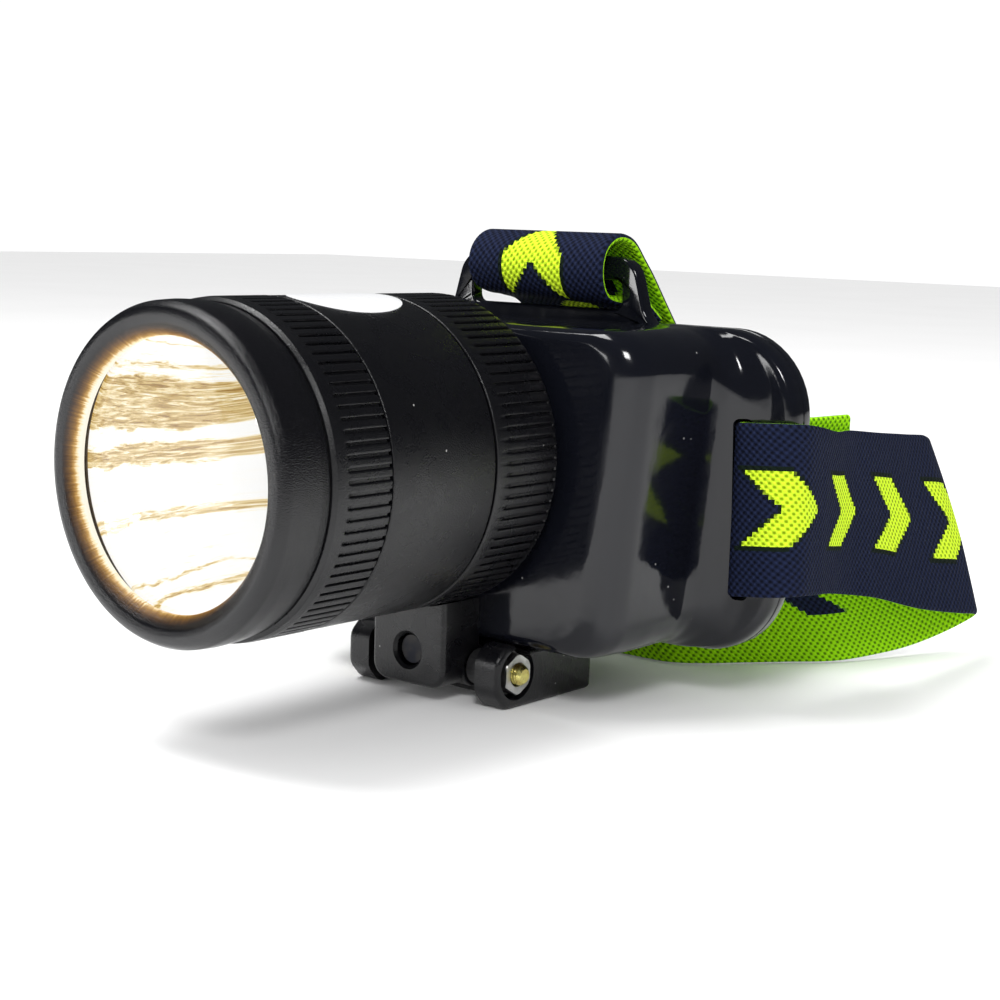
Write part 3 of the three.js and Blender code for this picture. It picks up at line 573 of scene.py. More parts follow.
def plated(name, colour, stain, roughness, scratch_stretch):
    """Plated or bare metal with stains, fine scratches and small pits."""
    material, nodes, links = start_material(name)
    place = nodes.new("ShaderNodeTexCoord")
    place.label = "place on the metal"
    cloud = nodes.new("ShaderNodeTexNoise")
    cloud.label = "stains"
    cloud.inputs["Scale"].default_value = 380
    cloud.inputs["Detail"].default_value = 6
    tone = nodes.new("ShaderNodeMix")
    tone.label = "plating to stain"
    tone.data_type = "RGBA"
    tone.inputs["A"].default_value = (*colour, 1)
    tone.inputs["B"].default_value = (*stain, 1)
    contrast = nodes.new("ShaderNodeMapRange")
    contrast.label = "stain edges"
    contrast.inputs["From Min"].default_value = 0.42
    contrast.inputs["From Max"].default_value = 0.66
    stretch = nodes.new("ShaderNodeMapping")
    stretch.label = "draw out the scratches"
    stretch.inputs["Scale"].default_value = scratch_stretch
    scratches = nodes.new("ShaderNodeTexNoise")
    scratches.label = "scratches"
    scratches.inputs["Scale"].default_value = 900
    scratches.inputs["Detail"].default_value = 8
    polish = nodes.new("ShaderNodeMapRange")
    polish.label = "polish"
    polish.inputs["To Min"].default_value = roughness[0]
    polish.inputs["To Max"].default_value = roughness[1]
    bump = nodes.new("ShaderNodeBump")
    bump.label = "scratch depth"
    bump.inputs["Strength"].default_value = 0.5
    bump.inputs["Distance"].default_value = 0.00003
    shader = nodes.new("ShaderNodeBsdfPrincipled")
    shader.label = "metal"
    shader.inputs["Metallic"].default_value = 1
    out = nodes.new("ShaderNodeOutputMaterial")
    links.new(place.outputs["Object"], cloud.inputs["Vector"])
    links.new(cloud.outputs["Fac"], contrast.inputs["Value"])
    links.new(contrast.outputs["Result"], tone.inputs["Factor"])
    links.new(tone.outputs["Result"], shader.inputs["Base Color"])
    links.new(place.outputs["Object"], stretch.inputs["Vector"])
    links.new(stretch.outputs["Vector"], scratches.inputs["Vector"])
    links.new(scratches.outputs["Fac"], polish.inputs["Value"])
    links.new(polish.outputs["Result"], shader.inputs["Roughness"])
    links.new(scratches.outputs["Fac"], bump.inputs["Height"])
    links.new(bump.outputs["Normal"], shader.inputs["Normal"])
    links.new(shader.outputs["BSDF"], out.inputs["Surface"])
    arrange(
        nodes,
        [
            ("colour", [place, cloud, contrast, tone]),
            ("scratches", [stretch, scratches, polish, bump]),
            ("surface", [shader, out]),
        ],
    )
    return material


def woven_elastic():
    """Jacquard elastic. The attribute weave holds millimetres along and across the band and which face it
    is, 1 outside and 0 inside. Outside, lime chevrons lie on a navy ground; inside, the same chevrons are
    navy on lime. Each stitch takes one colour, so the chevrons have stepped edges, and the ribs run in a
    herringbone. The yarn colours are darker in the pits between stitches, a painted shade, and lighter on
    the crests."""
    material, nodes, links = start_material("woven_elastic")
    weave = nodes.new("ShaderNodeAttribute")
    weave.label = "along, across, face"
    weave.attribute_name = "weave"
    split = nodes.new("ShaderNodeSeparateXYZ")
    split.label = "along, across, face"
    stitch = nodes.new("ShaderNodeVectorMath")
    stitch.label = "one value for each stitch"
    stitch.operation = "SNAP"
    stitch.inputs[1].default_value = (0.55, 0.9, 10)
    stitch_split = nodes.new("ShaderNodeSeparateXYZ")
    stitch_split.label = "stitch along and across"

    centre = nodes.new("ShaderNodeMath")
    centre.label = "from the middle line"
    centre.operation = "SUBTRACT"
    centre.inputs[1].default_value = BAND_WIDE / 2
    off = nodes.new("ShaderNodeMath")
    off.label = "distance from the middle line"
    off.operation = "ABSOLUTE"
    slant = nodes.new("ShaderNodeMath")
    slant.label = "slope of the chevron"
    slant.operation = "MULTIPLY_ADD"
    slant.inputs[1].default_value = 1.15
    pitch = nodes.new("ShaderNodeMath")
    pitch.label = "repeat along the band"
    pitch.operation = "PINGPONG"
    pitch.inputs[1].default_value = 12.5
    stroke = nodes.new("ShaderNodeMapRange")
    stroke.label = "stroke of the chevron"
    stroke.inputs["From Min"].default_value = 4.6
    stroke.inputs["From Max"].default_value = 4.4
    rim = nodes.new("ShaderNodeMapRange")
    rim.label = "stroke with its dark rim"
    rim.inputs["From Min"].default_value = 5.4
    rim.inputs["From Max"].default_value = 5.2
    tall = nodes.new("ShaderNodeMath")
    tall.label = "chevron height"
    tall.operation = "LESS_THAN"
    tall.inputs[1].default_value = 7.4
    tall_rim = nodes.new("ShaderNodeMath")
    tall_rim.label = "height with its rim"
    tall_rim.operation = "LESS_THAN"
    tall_rim.inputs[1].default_value = 8.2
    motif = nodes.new("ShaderNodeMath")
    motif.label = "chevron"
    motif.operation = "MULTIPLY"
    border = nodes.new("ShaderNodeMath")
    border.label = "chevron and rim"
    border.operation = "MULTIPLY"

    along = nodes.new("ShaderNodeMath")
    along.label = "stitch count along"
    along.operation = "MULTIPLY_ADD"
    along.inputs[1].default_value = 2 * math.pi / 1.5
    slip = nodes.new("ShaderNodeMath")
    slip.label = "stitches lean"
    slip.operation = "MULTIPLY"
    slip.inputs[1].default_value = 0.9
    along_wave = nodes.new("ShaderNodeMath")
    along_wave.label = "stitches along"
    along_wave.operation = "SINE"
    rows = nodes.new("ShaderNodeMath")
    rows.label = "stitch rows across"
    rows.operation = "MULTIPLY"
    rows.inputs[1].default_value = math.pi / 0.72
    row_wave = nodes.new("ShaderNodeMath")
    row_wave.label = "rows, each half a stitch on"
    row_wave.operation = "SINE"
    knit = nodes.new("ShaderNodeMath")
    knit.label = "staggered stitches"
    knit.operation = "MULTIPLY"
    yarn = nodes.new("ShaderNodeTexNoise")
    yarn.label = "fuzz of the yarn"
    yarn.inputs["Scale"].default_value = 2.6
    yarn.inputs["Detail"].default_value = 6
    fuzzy = nodes.new("ShaderNodeMath")
    fuzzy.label = "stitches with fuzz"
    fuzzy.operation = "MULTIPLY_ADD"
    fuzzy.inputs[1].default_value = 1.3
    # painted shade: the navy is dark in the pits between stitches and light on the crests; the yarn's fuzz
    # adds a random change of tone
    shade = nodes.new("ShaderNodeMapRange")
    shade.label = "pit to crest"
    shade.inputs["From Min"].default_value = -0.35
    shade.inputs["From Max"].default_value = 1.55
    # painted shade in the pits between stitches, for the lime yarns
    pits = nodes.new("ShaderNodeMapRange")
    pits.label = "dark pits between stitches"
    pits.inputs["From Min"].default_value = -0.75
    pits.inputs["From Max"].default_value = 0.15

    # each yarn runs from its shaded colour in the pits (A) to its lit colour on the crests (B)
    navy = nodes.new("ShaderNodeMix")
    navy.label = "navy yarn"
    navy.data_type = "RGBA"
    navy.inputs["A"].default_value = (0.0006, 0.0013, 0.0070, 1)
    navy.inputs["B"].default_value = (0.0110, 0.0175, 0.0520, 1)
    lime = nodes.new("ShaderNodeMix")
    lime.label = "lime yarn outside"
    lime.data_type = "RGBA"
    lime.inputs["A"].default_value = (0.20, 0.32, 0.002, 1)
    lime.inputs["B"].default_value = (0.66, 0.93, 0.030, 1)
    green = nodes.new("ShaderNodeMix")
    green.label = "lime yarn inside"
    green.data_type = "RGBA"
    green.inputs["A"].default_value = (0.07, 0.20, 0.0, 1)
    green.inputs["B"].default_value = (0.32, 0.72, 0.003, 1)
    rimmed = nodes.new("ShaderNodeMix")
    rimmed.label = "dark rim round the chevron"
    rimmed.data_type = "RGBA"
    rimmed.inputs["B"].default_value = (0.004, 0.010, 0.006, 1)
    outside = nodes.new("ShaderNodeMix")
    outside.label = "outside face"
    outside.data_type = "RGBA"
    inside = nodes.new("ShaderNodeMix")
    inside.label = "inside face"
    inside.data_type = "RGBA"
    faces = nodes.new("ShaderNodeMix")
    faces.label = "outside or inside"
    faces.data_type = "RGBA"
    which = nodes.new("ShaderNodeMath")
    which.label = "which face"
    which.operation = "GREATER_THAN"
    which.inputs[1].default_value = 0.5

    bump = nodes.new("ShaderNodeBump")
    bump.label = "depth of the knit"
    bump.inputs["Strength"].default_value = 0.9
    bump.inputs["Distance"].default_value = 0.00022
    shader = nodes.new("ShaderNodeBsdfPrincipled")
    shader.label = "yarn"
    shader.inputs["Roughness"].default_value = 0.85
    shader.inputs["Specular IOR Level"].default_value = 0.12
    out = nodes.new("ShaderNodeOutputMaterial")

    links.new(weave.outputs["Vector"], split.inputs["Vector"])
    links.new(weave.outputs["Vector"], stitch.inputs[0])
    links.new(stitch.outputs["Vector"], stitch_split.inputs["Vector"])
    links.new(stitch_split.outputs["Y"], centre.inputs[0])
    links.new(centre.outputs["Value"], off.inputs[0])
    links.new(off.outputs["Value"], slant.inputs[0])
    links.new(stitch_split.outputs["X"], slant.inputs[2])
    links.new(slant.outputs["Value"], pitch.inputs[0])
    links.new(pitch.outputs["Value"], stroke.inputs["Value"])
    links.new(pitch.outputs["Value"], rim.inputs["Value"])
    links.new(off.outputs["Value"], tall.inputs[0])
    links.new(off.outputs["Value"], tall_rim.inputs[0])
    links.new(stroke.outputs["Result"], motif.inputs[0])
    links.new(tall.outputs["Value"], motif.inputs[1])
    links.new(rim.outputs["Result"], border.inputs[0])
    links.new(tall_rim.outputs["Value"], border.inputs[1])
    links.new(split.outputs["Y"], slip.inputs[0])
    links.new(split.outputs["X"], along.inputs[0])
    links.new(slip.outputs["Value"], along.inputs[2])
    links.new(along.outputs["Value"], along_wave.inputs[0])
    links.new(split.outputs["Y"], rows.inputs[0])
    links.new(rows.outputs["Value"], row_wave.inputs[0])
    links.new(along_wave.outputs["Value"], knit.inputs[0])
    links.new(row_wave.outputs["Value"], knit.inputs[1])
    links.new(weave.outputs["Vector"], yarn.inputs["Vector"])
    links.new(yarn.outputs["Fac"], fuzzy.inputs[0])
    links.new(knit.outputs["Value"], fuzzy.inputs[2])
    links.new(fuzzy.outputs["Value"], shade.inputs["Value"])
    links.new(knit.outputs["Value"], pits.inputs["Value"])
    links.new(shade.outputs["Result"], navy.inputs["Factor"])
    links.new(pits.outputs["Result"], lime.inputs["Factor"])
    links.new(pits.outputs["Result"], green.inputs["Factor"])
    links.new(border.outputs["Value"], rimmed.inputs["Factor"])
    links.new(navy.outputs["Result"], rimmed.inputs["A"])
    links.new(motif.outputs["Value"], outside.inputs["Factor"])
    links.new(rimmed.outputs["Result"], outside.inputs["A"])
    links.new(lime.outputs["Result"], outside.inputs["B"])
    links.new(motif.outputs["Value"], inside.inputs["Factor"])
    links.new(green.outputs["Result"], inside.inputs["A"])
    links.new(navy.outputs["Result"], inside.inputs["B"])
    links.new(split.outputs["Z"], which.inputs[0])
    links.new(which.outputs["Value"], faces.inputs["Factor"])
    links.new(inside.outputs["Result"], faces.inputs["A"])
    links.new(outside.outputs["Result"], faces.inputs["B"])
    links.new(faces.outputs["Result"], shader.inputs["Base Color"])
    links.new(fuzzy.outputs["Value"], bump.inputs["Height"])
    links.new(bump.outputs["Normal"], shader.inputs["Normal"])
    links.new(shader.outputs["BSDF"], out.inputs["Surface"])
    arrange(
        nodes,
        [
            ("band", [weave, split, stitch, stitch_split]),
            ("chevrons", [centre, off, slant, pitch, stroke, rim, tall, tall_rim, motif, border]),
            ("knit", [slip, along, along_wave, rows, row_wave, knit, yarn, fuzzy, shade, pits]),
            ("colour", [navy, lime, green, rimmed, outside, inside, which, faces]),
            ("surface", [bump, shader, out]),
        ],
    )
    return material


def flat_film(name, colour, second, scale, metallic, roughness):
    """Thin printed or plated stock: a fine two-tone mottle, and a polish that follows it."""
    material, nodes, links = start_material(name)
    place = nodes.new("ShaderNodeTexCoord")
    place.label = "place on the piece"
    mottle = nodes.new("ShaderNodeTexNoise")
    mottle.label = "mottle"
    mottle.inputs["Scale"].default_value = scale
    mottle.inputs["Detail"].default_value = 5
    tone = nodes.new("ShaderNodeMix")
    tone.label = "two tones"
    tone.data_type = "RGBA"
    tone.inputs["A"].default_value = (*colour, 1)
    tone.inputs["B"].default_value = (*second, 1)
    polish = nodes.new("ShaderNodeMapRange")
    polish.label = "polish"
    polish.inputs["To Min"].default_value = roughness[0]
    polish.inputs["To Max"].default_value = roughness[1]
    shader = nodes.new("ShaderNodeBsdfPrincipled")
    shader.label = "film"
    shader.inputs["Metallic"].default_value = metallic
    out = nodes.new("ShaderNodeOutputMaterial")
    links.new(place.outputs["Object"], mottle.inputs["Vector"])
    links.new(mottle.outputs["Fac"], tone.inputs["Factor"])
    links.new(mottle.outputs["Fac"], polish.inputs["Value"])
    links.new(tone.outputs["Result"], shader.inputs["Base Color"])
    links.new(polish.outputs["Result"], shader.inputs["Roughness"])
    links.new(shader.outputs["BSDF"], out.inputs["Surface"])
    arrange(nodes, [("colour", [place, mottle, tone]), ("surface", [polish, shader, out])])
    return material


SATIN_BLACK = moulded(
    "satin_black", (0.0022, 0.0022, 0.0032), (0.0042, 0.0042, 0.0054), (0.24, 0.36),
    (3600, 0.00008), (240, 0.00004), 0.03,
)
GLOSS_BLACK = moulded(
    "gloss_black", (0.0030, 0.0034, 0.0056), (0.0052, 0.0058, 0.0090), (0.07, 0.15),
    (1500, 0.000006), (210, 0.00006), 0.05,
)
LIP_BLACK_PAINTED_GLOW = painted_lamp_glow(
    moulded(
        "lip_black_painted_glow", (0.0022, 0.0022, 0.0032), (0.0042, 0.0042, 0.0054), (0.17, 0.27),
        (4200, 0.00010), (240, 0.00004), 0.03,
    )
)
RUBBER = moulded(
    "black_rubber", (0.012, 0.012, 0.012), (0.022, 0.021, 0.020), (0.62, 0.80),
    (3200, 0.00006), (300, 0.00004), 0.10,
)
NYLON = moulded(
    "nylon", (0.010, 0.010, 0.011), (0.018, 0.018, 0.019), (0.40, 0.55),
    (1800, 0.00003), (200, 0.00003), 0.02,
)
REFLECTOR_PAINTED_LIGHT = reflector_painted_light()
LENS = clear_plastic()
EMITTER = lit_emitter()
BLACK_STEEL = plated("black_steel", (0.020, 0.021, 0.026), (0.035, 0.034, 0.034), (0.25, 0.5), (1, 1, 5))
ZINC = plated("zinc", (0.62, 0.62, 0.60), (0.35, 0.35, 0.33), (0.22, 0.45), (1, 1, 5))
YELLOW_ZINC = plated("yellow_zinc", (0.85, 0.77, 0.26), (0.52, 0.38, 0.10), (0.18, 0.40), (1, 4, 1))
ALUMINIUM = plated("aluminium", (0.66, 0.67, 0.68), (0.50, 0.51, 0.52), (0.30, 0.50), (1, 6, 1))
NICKEL = plated("nickel", (0.70, 0.69, 0.66), (0.52, 0.50, 0.46), (0.16, 0.34), (6, 1, 1))
ELASTIC = woven_elastic()
CELL_WRAP = flat_film("cell_wrap", (0.02, 0.10, 0.36), (0.03, 0.13, 0.42), 200, 0, (0.28, 0.42))
BOARD = flat_film("circuit_board", (0.01, 0.11, 0.04), (0.02, 0.16, 0.06), 900, 0, (0.35, 0.55))
INDICATOR = flat_film("indicator", (0.45, 0.01, 0.01), (0.60, 0.02, 0.01), 700, 0, (0.08, 0.20))
SILVER_FILM = flat_film("silver_film", (0.84, 0.84, 0.84), (0.66, 0.67, 0.69), 900, 0.1, (0.25, 0.4))


# ---- shapes -----------------------------------------------------------------------------------


def rounded(points, radii, closed=False, steps=6):
    """A polyline in a plane whose corners are arcs: each arc touches the two lines that meet in
    its corner, and it is made smaller where a line is too short for it."""
    points = np.asarray(points, float)
    radii = np.broadcast_to(radii, len(points))
    pieces = []
    for i, corner in enumerate(points):
        if not closed and i in (0, len(points) - 1):
            pieces.append(corner[None])
            continue
        a, b = points[i - 1] - corner, points[(i + 1) % len(points)] - corner
        la, lb = np.linalg.norm(a), np.linalg.norm(b)
        a, b = a / la, b / lb
        half = 0.5 * math.acos(np.clip(a @ b, -1, 1))
        reach = min(radii[i] / math.tan(half), 0.49 * la, 0.49 * lb)
        if reach < 1e-4 or half > math.pi / 2 - 1e-3:
            pieces.append(corner[None])
            continue
        centre = corner + (a + b) / np.linalg.norm(a + b) * reach / math.cos(half)
        u, v = corner + a * reach - centre, corner + b * reach - centre
        turn = math.pi - 2 * half
        t = np.linspace(0, 1, steps + 1)[:, None]
        pieces.append(centre + (np.sin((1 - t) * turn) * u + np.sin(t * turn) * v) / math.sin(turn))
    return np.vstack(pieces)


def resampled(points, count, closed=False):
    """The same polyline cut into equal steps of its length."""
    path = np.vstack([points, points[:1]]) if closed else points
    reach = np.concatenate([[0], np.cumsum(np.linalg.norm(np.diff(path, axis=0), axis=1))])
    at = np.linspace(0, reach[-1], count + 1)[:-1] if closed else np.linspace(0, reach[-1], count)
    return np.stack([np.interp(at, reach, column) for column in path.T], axis=1)


def smooth_curve(points, per_stretch):
    """A curve through the points, by the centripetal Catmull-Rom formula: within each stretch the
    point is blended from its four neighbours, with the root of the distance as the parameter."""
    p = np.vstack([2 * points[0] - points[1], points, 2 * points[-1] - points[-2]])
    knots = np.concatenate([[0], np.cumsum(np.sqrt(np.linalg.norm(np.diff(p, axis=0), axis=1)))])
    n = len(points) - 1
    p0, p1, p2, p3 = (p[i : i + n, None] for i in range(4))
    t0, t1, t2, t3 = (knots[i : i + n, None, None] for i in range(4))
    t = t1 + (t2 - t1) * (np.arange(per_stretch) / per_stretch)[None, :, None]
    a1 = (t1 - t) / (t1 - t0) * p0 + (t - t0) / (t1 - t0) * p1
    a2 = (t2 - t) / (t2 - t1) * p1 + (t - t1) / (t2 - t1) * p2
    a3 = (t3 - t) / (t3 - t2) * p2 + (t - t2) / (t3 - t2) * p3
    b1 = (t2 - t) / (t2 - t0) * a1 + (t - t0) / (t2 - t0) * a2
    b2 = (t3 - t) / (t3 - t1) * a2 + (t - t1) / (t3 - t1) * a3
    curve = (t2 - t) / (t2 - t1) * b1 + (t - t1) / (t2 - t1) * b2
    return np.vstack([curve.reshape(-1, points.shape[1]), points[-1:]])


def surface(name, grid, wrap_rows=False, wrap_columns=False, attribute=None, sharp=38):
    """A closed mesh from a grid of points in millimetres. Rows or columns that come back to their
    start are wrapped, points that fall together are merged, and the faces are turned outwards."""
    rows, columns = grid.shape[:2]
    index = np.arange(rows * columns).reshape(rows, columns)
    if wrap_rows:
        index = np.vstack([index, index[:1]])
    if wrap_columns:
        index = np.hstack([index, index[:, :1]])
    quads = np.stack([index[:-1, :-1], index[1:, :-1], index[1:, 1:], index[:-1, 1:]], -1)
    mesh = bpy.data.meshes.new(name)
    mesh.from_pydata((grid.reshape(-1, 3) * MM).tolist(), [], quads.reshape(-1, 4).tolist())
    if attribute is not None:
        layer = mesh.attributes.new("weave", "FLOAT_VECTOR", "POINT")
        layer.data.foreach_set("vector", attribute.reshape(-1).astype(np.float32))
    tidy_mesh(mesh, sharp)
    return mesh


def tidy_mesh(mesh, sharp=38):
    """Merges doubles, turns the faces outwards and shades smooth up to an angle in degrees."""
    work = bmesh.new()
    work.from_mesh(mesh)
    bmesh.ops.remove_doubles(work, verts=work.verts, dist=2e-7)
    bmesh.ops.recalc_face_normals(work, faces=work.faces)
    work.to_mesh(mesh)
    work.free()
    mesh.polygons.foreach_set("use_smooth", np.ones(len(mesh.polygons), bool))
    mesh.set_sharp_from_angle(angle=math.radians(sharp))


def place_piece(name, mesh, body, slot, material, *nodes):
    """An object for the mesh that rides on a body and stands for CAD nodes."""
    piece = bpy.data.objects.new(name, mesh)
    bpy.context.scene.collection.objects.link(piece)
    mesh.materials.clear()
    mesh.materials.append(material)
    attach(piece, body)
    if nodes:
        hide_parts(*nodes)
    return piece


def about_axis(profile, sides, phases=None, ripple=None):
    """Carries a [radius, y] profile round the lamp's axis. Ripple, if given, changes the radius
    from the radius, y and angle of every point at once."""
    angle = phases if phases is not None else np.arange(sides) * 2 * math.pi / sides
    radius, y = profile[:, :1], profile[:, 1:]
    r = np.broadcast_to(radius, (len(profile), len(angle))).copy()
    if ripple is not None:
        r = ripple(r, np.broadcast_to(y, r.shape), np.broadcast_to(angle, r.shape))
    depth = np.broadcast_to(y, r.shape)
    return np.stack([r * np.sin(angle), depth, AXIS_Z + r * np.cos(angle)], axis=-1)


def along_x(profile, sides, y=PIVOT_Y, z=PIVOT_Z, ripple=None):
    """Carries an [x, radius] profile round an axis along X through (y, z)."""
    angle = np.arange(sides) * 2 * math.pi / sides
    x, radius = profile[:, :1], profile[:, 1:]
    r = np.broadcast_to(radius, (len(profile), sides)).copy()
    if ripple is not None:
        r = ripple(np.broadcast_to(x, r.shape), r, np.broadcast_to(angle, r.shape))
    x = np.broadcast_to(x, r.shape)
    return np.stack([x, y + r * np.cos(angle), z + r * np.sin(angle)], axis=-1)


def along_y(profile, sides, x, z):
    """Carries a [y, radius] profile round an axis along Y through (x, z)."""
    angle = np.arange(sides) * 2 * math.pi / sides
    y, radius = profile[:, :1], profile[:, 1:]
    r = np.broadcast_to(radius, (len(profile), sides))
    depth = np.broadcast_to(y, r.shape)
    return np.stack([x + r * np.cos(angle), depth, z + r * np.sin(angle)], axis=-1)


def rod(first, last, radius):
    """The profile of a plain rod between two stations: up from the axis, along and down again."""
    return np.array([(first, 0), (first, radius), (last, radius), (last, 0)], float)


def box_ring(y, half_top, half_bottom, low, high, corner, steps=14, edge=12):
    """One ring in X and Z at a depth y: sides that lean from half_top to half_bottom, joined by
    quarter rounds. Every ring has the same count of points."""
    quarter = np.linspace(0, math.pi / 2, steps)
    centres = [
        (half_top - corner, high - corner, 0),
        (-half_top + corner, high - corner, 1),
        (-half_bottom + corner, low + corner, 2),
        (half_bottom - corner, low + corner, 3),
    ]
    arcs = [
        np.stack([x + corner * np.cos(quarter + k * math.pi / 2),
                  z + corner * np.sin(quarter + k * math.pi / 2)], axis=1)
        for x, z, k in centres
    ]
    share = (np.arange(1, edge) / edge)[:, None]
    runs = []
    for k, arc in enumerate(arcs):
        following = arcs[(k + 1) % 4][0]
        runs += [arc, arc[-1] + (following - arc[-1]) * share]
    ring = np.vstack(runs)
    return np.stack([ring[:, 0], np.full(len(ring), y), ring[:, 1]], axis=1)


def eased_stations(stations, step, spread):
    """Stations of a loft, cut finely by the distance between them and then averaged over a
    distance called spread, which turns their corners into smooth rounds. The ends stay."""
    stations = np.asarray(stations, float)
    reach = np.concatenate([[0], np.cumsum(np.linalg.norm(np.diff(stations[:, :2], axis=0), axis=1))])
    at = np.arange(0, reach[-1], step)
    at[-1] = reach[-1]
    fine = np.stack([np.interp(at, reach, column) for column in stations.T], axis=1)
    margin = int(3 * spread / step)
    weight = np.exp(-0.5 * (np.arange(-margin, margin + 1) * step / spread) ** 2)
    weight /= weight.sum()
    before = 2 * fine[0] - fine[1 : margin + 1][::-1]
    after = 2 * fine[-1] - fine[-margin - 1 : -1][::-1]
    padded = np.vstack([before, fine, after])
    return np.stack([np.convolve(column, weight, "valid") for column in padded.T], axis=1)


def cut_holes(mesh, cutters, operation="DIFFERENCE"):
    """Takes the closed cutter meshes away from a closed mesh, or joins them to it."""
    work = bmesh.new()
    for cutter in cutters:
        work.from_mesh(cutter)
    tool_mesh = bpy.data.meshes.new("cutter")
    work.to_mesh(tool_mesh)
    work.free()
    body = bpy.data.objects.new("cut_body", mesh)
    tool = bpy.data.objects.new("cut_tool", tool_mesh)
    for item in (body, tool):
        bpy.context.scene.collection.objects.link(item)
    modifier = body.modifiers.new("holes", "BOOLEAN")
    modifier.object, modifier.operation, modifier.solver = tool, operation, "EXACT"
    bpy.context.view_layer.update()
    result = bpy.data.meshes.new_from_object(
        body.evaluated_get(bpy.context.evaluated_depsgraph_get())
    )
    for item in (body, tool):
        bpy.data.objects.remove(item)
    tidy_mesh(result)
    return result


def rounded_block(low, high, radius, axis, steps=5):
    """A block between two corners whose four edges along one axis are rounds: a ring of the two
    other axes, carried between the block's ends and closed by fans."""
    low, high = np.asarray(low, float), np.asarray(high, float)
    a, b = [k for k in range(3) if k != axis]
    flat = [(low[a], low[b]), (high[a], low[b]), (high[a], high[b]), (low[a], high[b])]
    ring = rounded(flat, radius, closed=True, steps=steps)
    middle = np.tile(ring.mean(0), (len(ring), 1))
    rows = []
    for loop, level in ((middle, low), (ring, low), (ring, high), (middle, high)):
        row = np.zeros((len(ring), 3))
        row[:, a], row[:, b], row[:, axis] = loop[:, 0], loop[:, 1], level[axis]
        rows.append(row)
    return surface("block", np.stack(rows), wrap_columns=True)


SHARP_EDGE, FLAT_ENOUGH = 30, 1.5  # degrees between two faces: rounded, and merged


def eased_copy(node, width):
    """A copy of a CAD node's mesh, its triangles merged into flat faces, with its edges rounded
    over a width in millimetres where two faces meet at more than SHARP_EDGE degrees."""
    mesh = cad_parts[node].data.copy()
    work = bmesh.new()
    work.from_mesh(mesh)
    bmesh.ops.remove_doubles(work, verts=work.verts, dist=2e-6)
    flat = math.radians(FLAT_ENOUGH)
    bmesh.ops.dissolve_limit(work, angle_limit=flat, verts=work.verts, edges=work.edges)
    edges = [
        e for e in work.edges
        if len(e.link_faces) == 2 and e.calc_face_angle(0) > math.radians(SHARP_EDGE)
    ]
    bmesh.ops.bevel(
        work, geom=edges, offset=width * MM, offset_type="OFFSET", segments=4, profile=0.5,
        affect="EDGES", clamp_overlap=True,
    )
    work.to_mesh(mesh)
    work.free()
    tidy_mesh(mesh)
    return mesh


# ---- lamp head --------------------------------------------------------------------------------

RIBS = 90
RIB_PHASES = np.array([-0.12, 0.0, 0.12, 0.17, 0.23, 0.36, 0.50, 0.64, 0.77, 0.83])
GROOVE_HALF, GROOVE_FLANK = 0.18, 0.06  # shares of the rib pitch
RIB_DEPTH = 0.5
RIB_FADE = 0.5  # the grooves run out over this length at their ends
RIB_FOOT_R = 27.9  # inside this radius there are no grooves


def ribbed(first, last):
    """A ripple of flat-topped ribs between two depths y: narrow grooves that fade in over half a
    millimetre at each end that lies inside the piece."""

    def ripple(r, y, angle):
        phase = (angle * RIBS / (2 * math.pi) + 0.5) % 1 - 0.5
        groove = np.clip((GROOVE_HALF - np.abs(phase)) / GROOVE_FLANK, 0, 1)
        inside = np.clip((y - first) / RIB_FADE, 0, 1) * np.clip((last - y) / RIB_FADE, 0, 1)
        outer = np.clip((r - RIB_FOOT_R) / 0.6, 0, 1)
        return r - RIB_DEPTH * groove * inside * outer

    return ripple


def rib_angles():
    """Angles round the axis that put a few points on every rib and on both flanks of a groove."""
    steps = (np.arange(RIBS)[:, None] + RIB_PHASES[None, :]).ravel()
    return np.sort(steps) * 2 * math.pi / RIBS


